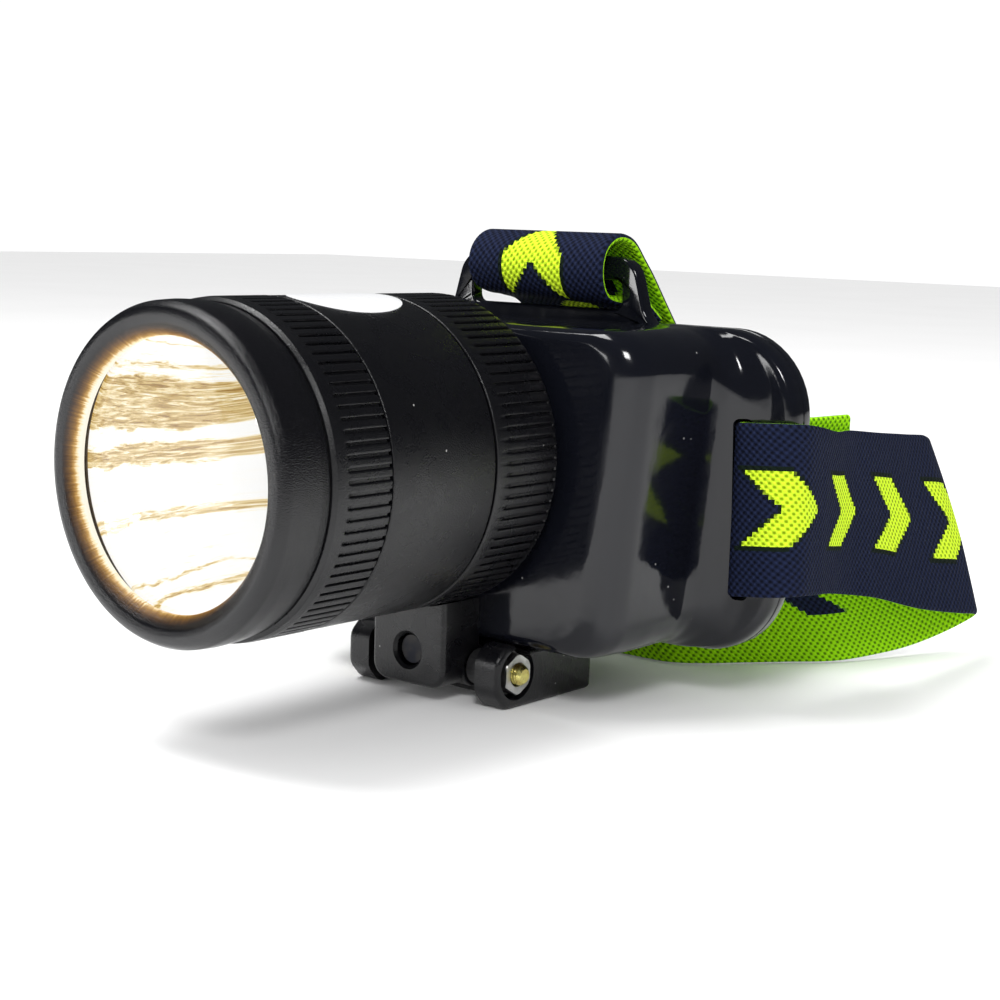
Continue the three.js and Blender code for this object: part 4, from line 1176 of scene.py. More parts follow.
def add_lamp_head():
    """The turned pieces of the head: each is a closed profile carried round the axis."""
    lip = rounded(
        [(22.8, -77.4), (23.8, -78.5), (25.0, -79.6), (26.3, -80.0), (27.7, -79.6), (28.5, -78.0),
         (28.65, -75.0), (28.5, -71.4), (28.1, -69.2), (26.2, -69.2), (26.2, -76.6), (22.8, -76.8)],
        [0.1, 2.0, 1.8, 1.6, 1.6, 2.2, 9, 4, 0.25, 0.2, 0.2, 0.1], closed=True, steps=7,
    )
    mesh = surface("front_lip", about_axis(lip, 192), True, True)
    place_piece("lamp_lip", mesh, "bezel", "satin_black_plastic", LIP_BLACK_PAINTED_GLOW, "front_lip")

    collar_outer = rounded(
        [(26.2, -68.85), (28.2, -68.85), (28.85, -68.2), (29.0, -66.6), (29.0, -65.9)],
        [0.1, 0.3, 0.5, 1.2, 0], steps=5,
    )
    band = np.array([[29.0, y] for y in (-65.6, -65.4, -65.2, -64.0, -62.0, -60.0, -58.0, -56.4)])
    collar_rear = np.array([[29.0, -56.0], [28.95, -55.8], [28.7, -55.65], [26.2, -55.65]])
    profile = np.vstack([collar_outer, band, collar_rear])
    grid = about_axis(profile, 0, rib_angles(), ribbed(-65.8, -55.0))
    place_piece(
        "grip_collar", surface("grip_collar", grid, True, True), "bezel",
        "satin_black_plastic", SATIN_BLACK, "knurled_collar",
    )

    tube = rounded(
        [(24.4, -67.6), (25.7, -67.6), (25.7, -55.35), (28.95, -55.35), (28.95, -29.5),
         (26.0, -29.5), (26.0, -23.0), (24.4, -23.0)],
        [0.1, 0.3, 0.1, 0.35, 0.4, 0.1, 0.2, 0.1], closed=True, steps=5,
    )
    place_piece(
        "lamp_tube", surface("lamp_tube", about_axis(tube, 160), True, True), "head",
        "satin_black_plastic", SATIN_BLACK, "head_tube",
    )

    cap_front = rounded([(26.4, -28.95), (28.95, -28.95), (29.0, -27.0)], [0.1, 0.35, 0], steps=4)
    cap_ribs = np.array([[29.0, y] for y in (-25.7, -25.5, -25.3, -24.5, -22.0, -19.0, -16.0, -14.0)])
    cap_rear = rounded(
        [(29.0, -13.4), (28.9, -12.3), (28.0, -11.7), (2.6, -11.7), (2.6, -14.1), (26.4, -14.1),
         (26.4, -28.9)],
        [0, 0.6, 0.6, 0.3, 0.1, 0.6, 0], steps=4,
    )
    profile = np.vstack([cap_front, cap_ribs, cap_rear])
    grid = about_axis(profile, 0, rib_angles(), ribbed(-25.85, -12.1))
    cap = surface("rear_cap", grid, True, True)
    plug = along_y(rod(-14.1, -11.7, 3.2), 48, 0, AXIS_Z)
    middle = surface("cap_middle", plug, wrap_columns=True)
    drill = along_y(rod(-20, -10, LEAD_HOLE_R), 48, 0, HEAD_LEAD_Z)
    lead_hole = surface("lead_hole", drill, wrap_columns=True)
    cap = cut_holes(cut_holes(cap, [middle], "UNION"), [lead_hole])
    place_piece("grip_cap", cap, "head", "satin_black_plastic", SATIN_BLACK, "rear_cap")

    r = np.linspace(4.6, 24.1, 40)
    bowl = np.stack([r, -43.5 - 29.1 * (r / 24.1) ** 2], axis=1)
    rim = np.array([[24.3, -72.75], [25.5, -72.75], [25.5, -71.6], [25.0, -71.5]])
    outside = np.stack([r[::-1] + 0.9, bowl[::-1, 1] + 0.9], axis=1)
    neck = np.array([[5.5, -41.0], [4.6, -41.0]])
    place_piece(
        "bowl", surface("bowl", about_axis(np.vstack([bowl, rim, outside, neck]), 160), True, True),
        "head", "reflector_silver", REFLECTOR_PAINTED_LIGHT, "reflector",
    )

    disc = rounded(
        [(-76.3, 0), (-76.3, 25.6), (-74.3, 25.6), (-74.3, 0)], [0, 0.3, 0.3, 0], steps=3
    )
    place_piece(
        "lens_disc", surface("lens_disc", along_y(disc, 128, 0, AXIS_Z), wrap_columns=True),
        "lens_set", "clear_lens", LENS, "lens",
    )
    seal = rounded([(24.5, -74), (25.7, -74), (25.7, -73), (24.5, -73)], 0.35, closed=True)
    place_piece(
        "lens_seal", surface("lens_seal", about_axis(seal, 96), True, True),
        "lens_set", "black_rubber", RUBBER, "lens_gasket",
    )


LABEL_TURN = 0.16  # the label sits a little off the top of the tube


def add_label():
    """A blank oval of silver film wrapped over the tube: polar rings of an ellipse, laid on the
    tube's round, with a rolled edge."""
    angle = np.linspace(0, 2 * math.pi, 96, endpoint=False)
    rings = [
        (0.0, 0.19), (0.3, 0.19), (0.6, 0.19), (0.85, 0.19), (0.97, 0.18), (1.0, 0.10), (1.0, 0.01),
        (0.6, 0.01), (0.0, 0.01),
    ]
    rows = []
    for share, lift in rings:
        across, y = 7.6 * share * np.cos(angle), -42.4 + 12.2 * share * np.sin(angle)
        r = 28.97 + lift
        turn = LABEL_TURN + across / r
        rows.append(np.stack([r * np.sin(turn), y, AXIS_Z + r * np.cos(turn)], axis=1))
    mesh = surface("label", np.stack(rows), wrap_columns=True)
    place_piece("oval_label", mesh, "head", "silver_film", SILVER_FILM, "rating_label")


# ---- tilt hinge -------------------------------------------------------------------------------


def inward_normals(outline):
    """At each point of a closed anticlockwise outline, the unit chord between its neighbours,
    turned a quarter turn to the left."""
    along = np.roll(outline, -1, axis=0) - np.roll(outline, 1, axis=0)
    along /= np.linalg.norm(along, axis=1)[:, None]
    return np.stack([-along[:, 1], along[:, 0]], axis=1)


def rolled_edges(low, high, edge, steps):
    """Pairs of (how far the outline is drawn in, level) along a quarter round at each end."""
    turn = np.linspace(0, math.pi / 2, steps + 1)
    levels = [(edge * (1 - math.sin(t)), low + edge * (1 - math.cos(t))) for t in turn]
    levels += [(edge * (1 - math.cos(t)), high - edge * (1 - math.sin(t))) for t in turn]
    return levels


def plate(name, outline, low, high, axis, edge, steps=4):
    """A solid plate: an outline in the two other axes, carried along one axis between two levels.
    At each end it is drawn in along a quarter round of radius edge, and its ends are flat faces."""
    inward = inward_normals(outline)
    levels = rolled_edges(low, high, edge, steps)
    a, b = [k for k in range(3) if k != axis]
    rows = np.zeros((len(levels), len(outline), 3))
    for row, (amount, level) in zip(rows, levels):
        row[:, [a, b]] = outline + amount * inward
        row[:, axis] = level
    mesh = surface(name, rows, wrap_columns=True)
    work = bmesh.new()
    work.from_mesh(mesh)
    bmesh.ops.holes_fill(work, edges=work.edges, sides=0)
    work.to_mesh(mesh)
    work.free()
    tidy_mesh(mesh, 30)
    return mesh


def block_of(points, radii, low, high, axis, edge):
    """A plate from a cornered outline, given anticlockwise, with its corners rounded."""
    outline = resampled(rounded(points, radii, closed=True, steps=8), 160, True)
    return plate("block", outline, low, high, axis, edge)


def clevis_mesh():
    """The base: its side outline carried across, with a mouth for the lug and the bolt's bore and seats."""
    side = [
        (14, 0), (14, 10.7), (-8.6, 10.7), (-9.6, 12.0), (-12.6, 12.0), (-15.2, 9.6), (-15.2, 3.2),
        (-12.2, 0),
    ]
    body = block_of(side, [1.2, 1.2, 0.8, 1.0, 2.4, 3.0, 3.2, 2.4], -19, 19, 0, 1.0)
    tools = [rounded_block((-13.5, -30, -5), (13.5, -4.6, 30), 1.0, 2)]
    for first, last, radius in ((-25, 25, 2.2), (15.3, 25, 4.9), (-25, -15.6, 4.4)):
        bore = rod(first, last, radius)
        tools.append(surface("bore", along_x(bore, 48), wrap_columns=True))
    for tool in tools:
        body = cut_holes(body, [tool])
    return body


def foot_mesh():
    """The lug: a block with round lower corners, a barrel round the bolt behind it, a saddle for
    the tube above it and a round recess in front."""
    front = [(-9, 3.0), (9, 3.0), (9, 22), (-9, 22)]
    body = block_of(front, [3.4, 3.4, 0.4, 0.4], -19, -8.2, 1, 0.9)
    barrel = rounded([(-9, 0), (-9, 4.0), (9, 4.0), (9, 0)], [0, 0.5, 0.5, 0])
    body = cut_holes(body, [surface("barrel", along_x(barrel, 64), wrap_columns=True)], "UNION")
    saddle = rod(-40, 10, 29.3)
    tools = [surface("saddle", along_y(saddle, 160, 0, AXIS_Z), wrap_columns=True)]
    recess = rounded(
        [(-22, 0), (-22, 3.7), (-19, 3.7), (-18.4, 3.1), (-15.5, 3.1), (-15.5, 0)],
        [0, 0, 0, 0.3, 0.3, 0],
    )
    tools.append(surface("recess", along_y(recess, 64, 0, 9.5), wrap_columns=True))
    bore = rod(-25, 25, 2.2)
    tools.append(surface("bore", along_x(bore, 48), wrap_columns=True))
    for tool in tools:
        body = cut_holes(body, [tool])
    return body


def add_hinge():
    """The clevis, the lug that tilts in it, and a turned bolt, washer and nut. The nut's radius is
    the hexagon's, cut back by a cone at each face."""
    for name, mesh, body, node in (
        ("clevis", clevis_mesh(), "box", "hinge_base"),
        ("tilt_foot", foot_mesh(), "head", "tilt_lug"),
    ):
        place_piece(name, mesh, body, "satin_black_plastic", SATIN_BLACK, node)

    def thread(x, r, angle):
        lead = ((x - 0.7 * angle / (2 * math.pi)) / 0.7) % 1
        outer = (r > 1.9) & (x > 12)
        return r - 0.16 * np.abs(2 * lead - 1) * outer

    ends = [
        (-17.4, 0.0), (-17.4, 1.5), (-18.8, 1.6), (-18.8, 3.0), (-18.4, 3.6), (-16.3, 3.6),
        (-16.3, 1.95),
    ]
    shank = [(x, 1.95) for x in np.arange(-16.0, 20.21, 0.1)]
    bolt = np.array([*ends, *shank, (20.5, 1.62), (20.8, 1.3), (20.8, 0.0)])
    place_piece(
        "tilt_bolt", surface("tilt_bolt", along_x(bolt, 40, ripple=thread), wrap_columns=True),
        "box", "yellow_zinc_steel", YELLOW_ZINC, "hinge_bolt",
    )
    washer = rounded([(15.6, 2.25), (15.6, 4.4), (16.3, 4.4), (16.3, 2.25)], 0.15, closed=True)
    place_piece(
        "bolt_washer", surface("bolt_washer", along_x(washer, 64), True, True),
        "box", "zinc_steel", ZINC, "hinge_washer",
    )

    def hexagon(x, r, angle):
        flat = 3.5 / np.cos((angle + math.pi / 6) % (math.pi / 3) - math.pi / 6)
        cone = 3.72 + 0.9 * np.minimum(x - 16.6, 19.2 - x)
        return np.where(r > 3, np.minimum(flat, cone), r)

    nut = np.array([
        (16.9, 2.1), (16.6, 2.35), (16.6, 3.4), (16.6, 3.9), (16.8, 3.9), (17.0, 3.9), (17.9, 3.9),
        (18.8, 3.9), (19.0, 3.9), (19.2, 3.9), (19.2, 3.4), (19.2, 2.35), (18.9, 2.1),
    ])
    place_piece(
        "bolt_nut", surface("bolt_nut", along_x(nut, 96, ripple=hexagon), True, True, sharp=25),
        "box", "zinc_steel", ZINC, "hinge_nut",
    )


# ---- battery box ------------------------------------------------------------------------------


def wing_station(y, inset):
    """The outline shared by the wings and the back cover, drawn in by inset."""
    return (y, 58 - inset, 55.5 - inset, 10.2 + inset, 71.5 - inset, 16 - inset)


SHELL_STATIONS = [
    (SHELL_FRONT_Y, 34.0, 30.5, 14.5, 68.0, 6.5),
    (SHELL_FRONT_Y, 37.0, 33.2, 13.3, 69.4, 7.0),
    (-8.3, 39.8, 36.0, 12.0, 70.7, 7.5),
    (-6.6, 41.9, 38.1, 11.2, 71.4, 8.0),
    (-4.0, 43.1, 39.2, 11.0, 71.5, 8.0),
    (4.0, 43.8, 39.8, 11.0, 71.5, 8.0),
    (13.0, 44.4, 40.4, 11.0, 71.5, 9.0),
    (16.0, 45.6, 42.0, 11.0, 71.5, 11.0),
    (18.4, 49.0, 46.0, 10.6, 71.5, 13.5),
    (19.6, 53.0, 50.4, 10.3, 71.5, 14.6),
    wing_station(19.9, 0.8),
    wing_station(20.9, 0.0),
    wing_station(23.2, 0.0),
]


def slot_cutters():
    """One upright rounded bar for the strap slot in each wing."""
    return [
        rounded_block((x - SLOT_HALF, 10, SLOT_LOW), (x + SLOT_HALF, 40, SLOT_HIGH), 1.2, 1)
        for x in (-SLOT_X, SLOT_X)
    ]


def fan(ring, middle, y, shares):
    """Rings that close a loft flat: a ring drawn in towards a middle point by each share, at y."""
    rows = [middle + (ring - middle) * share for share in shares]
    for row in rows:
        row[:, 1] = y
    return rows


def add_shell():
    """The front shell: a loft of rounded rings from the middle of the front face out over the
    walls and the wings, and back inside as a cavity with a wall of 2.2 mm."""
    outer = eased_stations(SHELL_STATIONS, 0.3, 0.75)
    middle = np.array([0, 0, 41.5])
    rows = fan(box_ring(*outer[0]), middle, SHELL_FRONT_Y, (0.0, 0.3, 0.6, 0.85))
    rows += [box_ring(*station) for station in outer]
    inner = [
        (23.2, 41.6, 37.8, 13.2, 69.3, 6), (10, 41.2, 37.4, 13.2, 69.3, 6),
        (-4, 40.6, 36.8, 13.2, 69.3, 6), (CAVITY_FRONT_Y, 37.5, 34, 15, 68, 5),
    ]
    rows += [box_ring(*station) for station in inner]
    rows += fan(rows[-1], middle, CAVITY_FRONT_Y, (0.5, 0.0))
    mesh = surface("front_shell", np.stack(rows), wrap_columns=True)
    tools = slot_cutters()
    tools.append(rounded_block((-50, 1, 41.5), (-38, 12, 55), 1, 0))
    tools.append(rounded_block((-50, 1.5, 23.5), (-36, 11.5, 31.5), 1, 0))
    tools.append(surface("light_hole", along_x(rod(-50, -36, 1.7), 32, 6.5, 62), wrap_columns=True))
    lead_hole = along_y(rod(-12, -4, LEAD_HOLE_R), 32, 0, BOX_LEAD_Z)
    tools.append(surface("lead_hole", lead_hole, wrap_columns=True))
    mesh = cut_holes(mesh, tools)
    place_piece("box_shell", mesh, "box", "gloss_black_plastic", GLOSS_BLACK, "front_shell")


def ring_plate(name, outer, inner, front, rear, bevel, steps=4):
    """A plate with a hole: the outer and inner outlines in X and Z, joined round front and back,
    with each edge rounded by drawing its outline into the plate."""
    rows = []
    for outline, sign, order in ((outer, 1, 1), (inner, -1, -1)):
        inward = inward_normals(outline)
        for amount, y in rolled_edges(front, rear, bevel, steps)[::order]:
            loop = outline + sign * amount * inward
            rows.append(np.stack([loop[:, 0], np.full(len(loop), y), loop[:, 1]], axis=1))
    return surface(name, np.stack(rows), True, True)


def add_arch():
    """The arch over the box that carries the crown strap: a plate with one long slot. Its feet
    sweep out into the top of the box."""
    outline = rounded(
        [(-31, 69), (31, 69), (24.6, 72.2), (21.2, 84), (-21.2, 84), (-24.6, 72.2)],
        [0.1, 0.1, 6, 5.5, 5.5, 6], closed=True, steps=12,
    )
    slot = rounded([(-18.6, 73.8), (18.6, 73.8), (18.6, 79.4), (-18.6, 79.4)], 1.6, closed=True, steps=8)
    count = 220
    outer, inner = resampled(outline, count, True), resampled(slot, count, True)
    mesh = ring_plate("arch", outer, inner, 19.4, 22.6, 0.7)
    place_piece("crown_arch", mesh, "box", "gloss_black_plastic", GLOSS_BLACK)


def add_cover():
    """The back cover: the wing outline with a rolled rear edge, slotted for the strap, with a
    counterbore for each screw."""
    stations = [
        (COVER_FRONT_Y, 56.5, 54, 11.7, 70, 14.5), wing_station(COVER_FRONT_Y, 0.3),
        wing_station(23.8, 0.0), wing_station(25.5, 0.0), wing_station(26.1, 0.25),
        wing_station(26.45, 0.75), wing_station(COVER_REAR_Y, 1.5),
    ]
    rows = [box_ring(*station) for station in stations]
    middle = np.array([0, 0, 40.0])
    front = fan(rows[0], middle, COVER_FRONT_Y, (0.0, 0.5))
    rear = fan(rows[-1], middle, COVER_REAR_Y, (0.6, 0.0))
    rows = front + rows + rear
    mesh = surface("back_cover", np.stack(rows), wrap_columns=True)
    tools = slot_cutters()
    for x, z in COVER_SCREWS:
        seat = np.array([(20, 0), (20, 1.6), (25, 1.6), (25, 3.1), (30, 3.1), (30, 0)], float)
        tools.append(surface("seat", along_y(seat, 40, x, z), wrap_columns=True))
    mesh = cut_holes(mesh, tools)
    place_piece("box_cover", mesh, "box", "gloss_black_plastic", GLOSS_BLACK, "back_cover")


def screw_mesh(x, z):
    """A pan-head screw along Y with a cross recess."""
    dome = rounded(
        [(25.4, 0.0), (25.4, 2.7), (26.3, 2.7), (26.8, 1.6), (26.85, 0.0)],
        [0, 0.15, 0.5, 1.4, 0], steps=5,
    )
    shank = np.array([(12.0, 0.0), (12.0, 0.9), (13.2, 1.1), (25.4, 1.1)])
    head = surface("screw", along_y(np.vstack([shank, dome[1:]]), 48, x, z), wrap_columns=True)
    cross = [
        rounded_block((x - 1.5, 26.0, z - 0.28), (x + 1.5, 28, z + 0.28), 0.1, 1, 2),
        rounded_block((x - 0.28, 26.0, z - 1.5), (x + 0.28, 28, z + 1.5), 0.1, 1, 2),
    ]
    for tool in cross:
        head = cut_holes(head, [tool])
    return head


def add_cover_screws():
    """One pan-head screw in each counterbore of the back cover."""
    for i, (x, z) in enumerate(COVER_SCREWS):
        node = f"cover_screw_{i + 1}"
        place_piece(f"pan_screw_{i + 1}", screw_mesh(x, z), "box", "zinc_steel", ZINC, node)


def add_pad():
    """The forehead pad: foam in stretch cloth. The rings are rounded rectangles whose sides pull
    in between the corners, with a rolled edge and a shallow quilted channel round the border."""
    count = 240
    angle = np.linspace(0, 2 * math.pi, count, endpoint=False)

    def ring(y, half_x, half_z):
        power = 5.5
        c, s = np.cos(angle), np.sin(angle)
        r = (np.abs(c) ** power + np.abs(s) ** power) ** (-1 / power)
        pull = 1 - 0.012 * np.cos(4 * angle)
        return np.stack([half_x * r * c * pull, np.full(count, y), 41 + half_z * r * s * pull], axis=1)

    profile = [
        (26.75, 0.0), (26.75, 0.6), (26.75, 0.93), (27.0, 0.975), (28.2, 0.995), (30.0, 1.0),
        (31.6, 0.992), (32.7, 0.970), (33.35, 0.935), (33.65, 0.89), (33.45, 0.86), (33.0, 0.845),
        (33.45, 0.83), (33.85, 0.79), (34.0, 0.70), (34.0, 0.5), (34.0, 0.25), (34.0, 0.0),
    ]
    rows = [ring(y, 30 * share, 25 * share) for y, share in profile]
    pad = place_piece(
        "brow_pad", surface("brow_pad", np.stack(rows), wrap_columns=True, sharp=60), "box",
        "forehead_foam", PAD_CLOTH, "forehead_pad",
    )


def pad_cloth():
    """Stretch cloth over foam: fine crossed ribs and pilling, which raise its surface and set its colour:
    darker in the grooves between the ribs, a painted shade, and lighter where it pills.
    """
    material, nodes, links = start_material("pad_cloth")
    place = nodes.new("ShaderNodeTexCoord")
    place.label = "place on the pad"
    wales = nodes.new("ShaderNodeTexWave")
    wales.label = "upright ribs"
    wales.bands_direction = "X"
    wales.inputs["Scale"].default_value = 420
    wales.inputs["Distortion"].default_value = 0.8
    courses = nodes.new("ShaderNodeTexWave")
    courses.label = "level ribs"
    courses.bands_direction = "Z"
    courses.inputs["Scale"].default_value = 330
    courses.inputs["Distortion"].default_value = 0.8
    knit = nodes.new("ShaderNodeMath")
    knit.label = "knit"
    knit.operation = "MULTIPLY"
    pills = nodes.new("ShaderNodeTexNoise")
    pills.label = "pilling"
    pills.inputs["Scale"].default_value = 700
    pills.inputs["Detail"].default_value = 6
    knit_height_and_shade = nodes.new("ShaderNodeMath")
    knit_height_and_shade.label = "knit and pilling"
    knit_height_and_shade.operation = "MULTIPLY_ADD"
    knit_height_and_shade.inputs[1].default_value = 0.7
    # painted shade: the cloth is darker in the grooves of the knit; the pilling, which is real, lightens it
    # in patches
    tone = nodes.new("ShaderNodeMix")
    tone.label = "black cloth"
    tone.data_type = "RGBA"
    tone.inputs["A"].default_value = (0.006, 0.006, 0.008, 1)
    tone.inputs["B"].default_value = (0.045, 0.045, 0.052, 1)
    bump = nodes.new("ShaderNodeBump")
    bump.label = "knit depth"
    bump.inputs["Strength"].default_value = 0.8
    bump.inputs["Distance"].default_value = 0.00012
    shader = nodes.new("ShaderNodeBsdfPrincipled")
    shader.label = "cloth"
    shader.inputs["Roughness"].default_value = 0.88
    shader.inputs["Specular IOR Level"].default_value = 0.2
    shader.inputs["Sheen Weight"].default_value = 0.35
    out = nodes.new("ShaderNodeOutputMaterial")
    links.new(place.outputs["Object"], wales.inputs["Vector"])
    links.new(place.outputs["Object"], courses.inputs["Vector"])
    links.new(wales.outputs["Fac"], knit.inputs[0])
    links.new(courses.outputs["Fac"], knit.inputs[1])
    links.new(place.outputs["Object"], pills.inputs["Vector"])
    links.new(pills.outputs["Fac"], knit_height_and_shade.inputs[0])
    links.new(knit.outputs["Value"], knit_height_and_shade.inputs[2])
    links.new(knit_height_and_shade.outputs["Value"], tone.inputs["Factor"])
    links.new(tone.outputs["Result"], shader.inputs["Base Color"])
    links.new(knit_height_and_shade.outputs["Value"], bump.inputs["Height"])
    links.new(bump.outputs["Normal"], shader.inputs["Normal"])
    links.new(shader.outputs["BSDF"], out.inputs["Surface"])
    arrange(
        nodes,
        [
            ("knit", [place, wales, courses, knit]),
            ("pilling", [pills, knit_height_and_shade]),
            ("surface", [tone, bump, shader, out]),
        ],
    )
    return material


PAD_CLOTH = pad_cloth()


def add_box_details():
    """Small moulded pieces from their CAD solids with eased edges."""
    for name, node, body, width, slot, material in (
        ("switch_frame", "switch_body", "box", 0.3, "satin_black_plastic", SATIN_BLACK),
        ("rocker_key", "switch_rocker", "rocker", 0.35, "satin_black_plastic", SATIN_BLACK),
        ("port_flap_cover", "port_cover", "port_flap", 0.35, "black_rubber", RUBBER),
        ("crown_buckle", "crown_slider", "box", 0.5, "satin_black_plastic", SATIN_BLACK),
        ("side_buckle", "side_slider", "box", 0.5, "satin_black_plastic", SATIN_BLACK),
    ):
        place_piece(name, eased_copy(node, width), body, slot, material, node)


# ---- elastic band -----------------------------------------------------------------------------

# Low and high edges of the band, from its sewn end inside the near wing, round the near wing,
# back, round a leaning fold, across behind the pad, round the far fold and the far wing.
WRAP_LOW = np.array([
    (51.2, 52, 21.4), (49.2, 38, 21.4), (48.1, 28, 21.8), (47.8, 21, 22), (48.2, 17.2, 22.2),
    (52.6, 16.4, 22.8), (57.8, 17.4, 23.3), (59.9, 20.6, 23.4), (59.3, 28, 22.6), (56.8, 38, 21.2),
])
WRAP_RISE = 33.1 - 0.25 * np.maximum(0, np.arange(10) - 2)
RUN_LOW = np.array([(55.2, 47, 19.6), (55.6, 59, 17.4), (57.2, 76, 13), (58.6, 92, 10)])
RUN_HIGH = np.array([(54.4, 47, 52), (52.6, 62, 50.4), (50.6, 78, 48.8), (49.2, 89, 47.6)])
FOLD_LOW = np.array([(58.8, 99, 8.9), (57, 102.6, 7.6), (54, 98, 5), (49.8, 87.6, 2.2)])
FOLD_HIGH = np.array([(48, 92.4, 46.4), (46, 91.6, 43.6), (43.4, 86.6, 39.4), (40.4, 79.3, 35.9)])
RETURN_LOW = np.array([
    (46, 78, 1), (42, 69.5, 0.4), (35.4, 61.6, 0.3), (28.4, 53, 0.3), (22.5, 46, 0.3),
])
RETURN_HIGH = np.array([
    (38.4, 72, 34.6), (36, 65.6, 34), (31, 58.6, 33.7), (26.4, 51.6, 33.6), (22.2, 45.8, 33.6),
])
REAR_LOW = np.array([(17.6, 42.7, 0.3), (11, 42.2, 0.3), (-11, 42.2, 0.3), (-17.6, 42.7, 0.3)])
FAR_LOW = np.array([
    (-22.1, 45.4, 0.3), (-28, 53.4, 0.3), (-34, 65, 0.9), (-38.75, 76, 3.2), (-42.4, 83.6, 6),
    (-47.8, 86.4, 10), (-52.4, 82.8, 14), (-53.55, 76.4, 16.8), (-54.28, 68, 19.2),
    (-55.28, 58, 20.8), (-56.28, 48, 21.3), (-57.25, 38.4, 21.3),
])


def edge_rails():
    """Both edges of the band as lists of matching points."""
    up = np.array([0, 0, 1.0])
    wrap_high = WRAP_LOW + WRAP_RISE[:, None] * up
    far_wrap_low = (WRAP_LOW[:-1] * (-1, 1, 1))[::-1]
    level = BAND_WIDE * up
    low = np.vstack([WRAP_LOW, RUN_LOW, FOLD_LOW, RETURN_LOW, REAR_LOW, FAR_LOW, far_wrap_low])
    high = np.vstack([
        wrap_high, RUN_HIGH, FOLD_HIGH, RETURN_HIGH, REAR_LOW + level, FAR_LOW + level,
        far_wrap_low + WRAP_RISE[0] * up,
    ])
    return low, high


BELLY_START_Y, BELLY_REACH = 76, 14  # where the near fold starts to belly out, and over how far


def ribbon(name, low, high, step, start=0.0, ripple=0.12, belly=0.0, seed=3):
    """A woven strip between two edges. Both edges are smooth curves, cut at the same steps of
    their mean length; the section is a flat slab with round edges. Five sines of the length and
    the share across, added up, ripple it, and belly bulges it at the near fold. The attribute
    weave holds millimetres along, millimetres across and the face, 1 outside and 0 inside."""
    low_curve, high_curve = smooth_curve(low, 24), smooth_curve(high, 24)
    spans = [np.linalg.norm(np.diff(c, axis=0), axis=1) for c in (low_curve, high_curve)]
    mean = np.concatenate([[0], np.cumsum((spans[0] + spans[1]) / 2)])
    at = np.linspace(0, mean[-1], int(mean[-1] / step) + 1)
    edges, lengths = [], []
    for curve, span in zip((low_curve, high_curve), spans):
        edges.append(np.stack([np.interp(at, mean, column) for column in curve.T], axis=1))
        lengths.append(np.interp(at, mean, np.concatenate([[0], np.cumsum(span)])))
    across = edges[1] - edges[0]
    wide = np.linalg.norm(across, axis=1)[:, None]
    tangent = np.gradient((edges[0] + edges[1]) / 2, axis=0)
    normal = np.cross(tangent, across)
    normal /= np.linalg.norm(normal, axis=1)[:, None]

    half = BAND_THICK / 2
    turn = np.linspace(0, math.pi, 6)[1:-1]
    flat = np.linspace(0, 1, BAND_COLUMNS)
    # each column of the section: share across, inset from that share in mm, lift, face
    section = [(s, half * (1 - 2 * s), half, 1.0) for s in flat]
    section += [(1.0, half * (math.sin(t) - 1), half * math.cos(t), float(t < math.pi / 2)) for t in turn]
    section += [(s, half * (1 - 2 * s), -half, 0.0) for s in flat[::-1]]
    section += [(0.0, -half * (math.sin(t) - 1), -half * math.cos(t), float(t > math.pi / 2)) for t in turn]
    share, inset, lift, face = np.array(section).T
    place = share[None, :] + inset[None, :] / wide
    random = np.random.default_rng(seed)
    wobble = sum(
        random.uniform(0.3, 1)
        * np.sin(at[:, None] * k / 7.0 + random.uniform(0, 6) + place * random.uniform(-2, 2))
        for k in range(1, 6)
    )
    sway = ripple * wobble / 3
    grid = (
        edges[0][:, None, :] + across[:, None, :] * place[..., None]
        + normal[:, None, :] * (lift[None, :] + sway)[..., None]
    )
    past_bend = (grid[..., 1] - BELLY_START_Y) / BELLY_REACH
    bulge = np.clip(past_bend, 0, 1) ** 2 * (grid[..., 0] > 0)
    grid[..., 1] += belly * bulge * np.sin(np.pi * place)
    along = lengths[0][:, None] + (lengths[1] - lengths[0])[:, None] * place + start
    weave = np.stack([along, place * BAND_WIDE, np.broadcast_to(face, place.shape)], axis=-1)
    sewn_end, loose_end = (
        end.mean(axis=1, keepdims=True).repeat(grid.shape[1], 1) for end in (grid[:1], grid[-1:])
    )
    grid = np.concatenate([sewn_end, grid, loose_end])
    weave = np.concatenate([weave[:1], weave, weave[-1:]])
    return surface(name, grid, wrap_columns=True, attribute=weave, sharp=75), mean[-1]


def add_band():
    """The headband as one sheet in place of its nine CAD solids."""
    low, high = edge_rails()
    mesh, length = ribbon("headband", low, high, 1.0, belly=2.2)
    band = place_piece(
        "headband", mesh, "box", "elastic_webbing", ELASTIC,
        "headband_near_wrap", "headband_near_run", "headband_near_fold", "headband_near_return",
        "headband_rear", "headband_far_return", "headband_far_fold", "headband_far_run",
        "headband_far_wrap",
    )


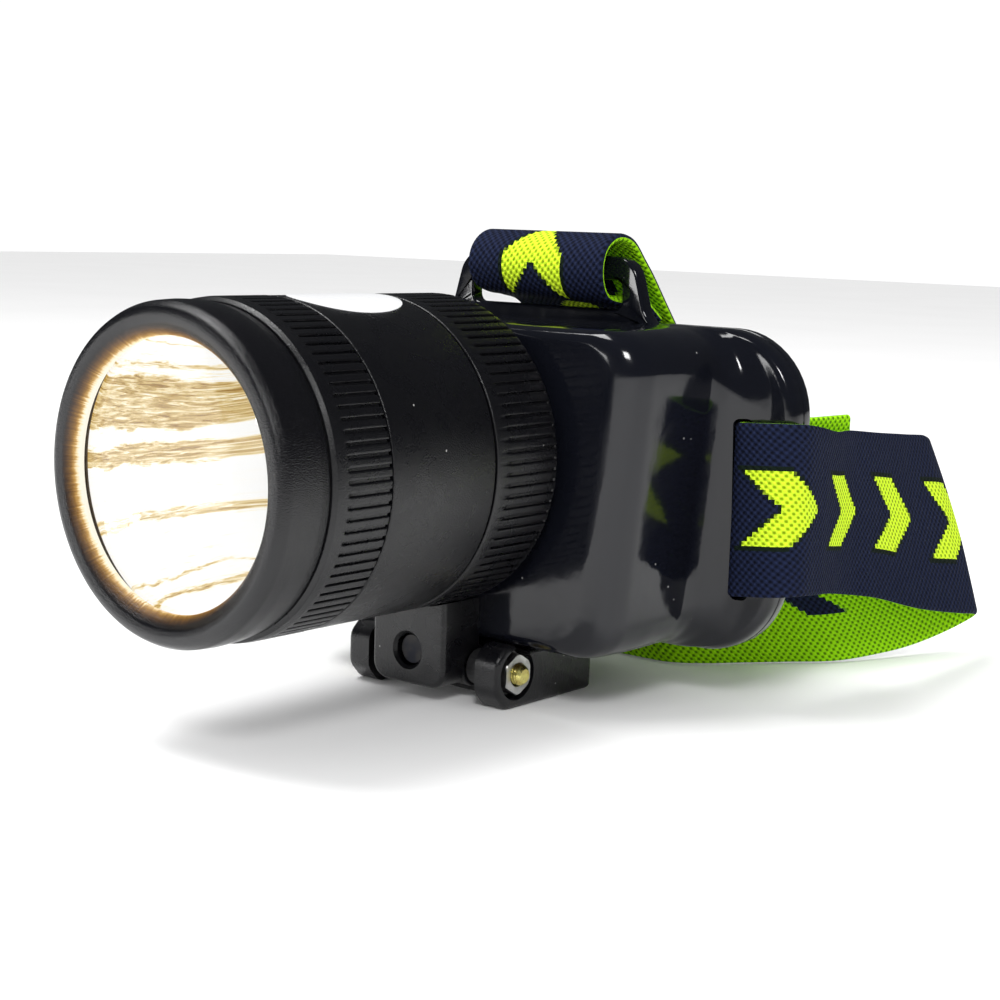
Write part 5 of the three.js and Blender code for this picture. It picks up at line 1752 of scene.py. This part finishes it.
CROWN = np.array([
    (34.4, 71.6), (29, 75), (24, 75.4), (20, 75.2), (16, 76.6), (14.2, 80.6), (15.2, 85), (19, 87.6),
    (23.6, 87), (28.5, 82.7), (35, 75.6), (43, 66), (50.5, 54), (55.4, 40), (56.35, 25.6), (54.6, 13),
    (50.6, 7), (46.8, 10), (45.4, 18), (45, 30),
])
CROWN_HALF = 16.75
CROWN_ASIDE = 1.2  # the strap sits nearer to one end of the arch's slot
CROWN_LIFT = np.array([0, 0.6, 1.3, 1.6, 0.8])  # its far edge is pulled up under the arch


def add_crown_strap():
    """The crown strap as one sheet: its centre line in Y and Z, set out to both edges along X."""
    near = np.column_stack([np.full(len(CROWN), CROWN_HALF + CROWN_ASIDE), CROWN])
    far = np.column_stack([np.full(len(CROWN), CROWN_ASIDE - CROWN_HALF), CROWN])
    far[1:6, 2] += CROWN_LIFT
    mesh, length = ribbon("crown_strap", near, far, 0.9, start=20.0, ripple=0.08, seed=5)
    strap = place_piece(
        "crown_strap", mesh, "box", "elastic_webbing", ELASTIC, "crown_loop", "crown_run", "crown_end"
    )


# ---- finish of the CAD pieces that stay -------------------------------------------------------

KEPT = {
    "lug_screw": BLACK_STEEL, "light_emitter": EMITTER, "emitter_board": ALUMINIUM, "heat_sink": ALUMINIUM,
    "head_grommet": RUBBER, "head_lead": RUBBER, "hinge_spacer_left": NYLON,
    "hinge_spacer_right": NYLON, "base_screw_left": ZINC, "base_screw_right": ZINC,
    "cover_seal": RUBBER, "cell_cradle": SATIN_BLACK, "cell_lower": CELL_WRAP,
    "cell_upper": CELL_WRAP, "contact_positive": NICKEL, "contact_negative": NICKEL,
    "charge_board": BOARD, "charge_socket": ALUMINIUM, "indicator_light": INDICATOR,
    "box_grommet": RUBBER, "box_lead": RUBBER,
}


def finish_kept_nodes():
    """Gives each CAD node that stays its finish."""
    for node, material in KEPT.items():
        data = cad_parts[node].data
        data.materials.clear()
        data.materials.append(material)


add_camera(
    azimuth=39.19, elevation=8.33, roll=1.78, sideways=48.06, upwards=-4.66, distance=314.56, lens=68.4
)
add_studio()
add_lamp_head()
add_label()
add_hinge()
add_shell()
add_arch()
add_cover()
add_cover_screws()
add_pad()
add_box_details()
add_band()
add_crown_strap()
finish_kept_nodes()
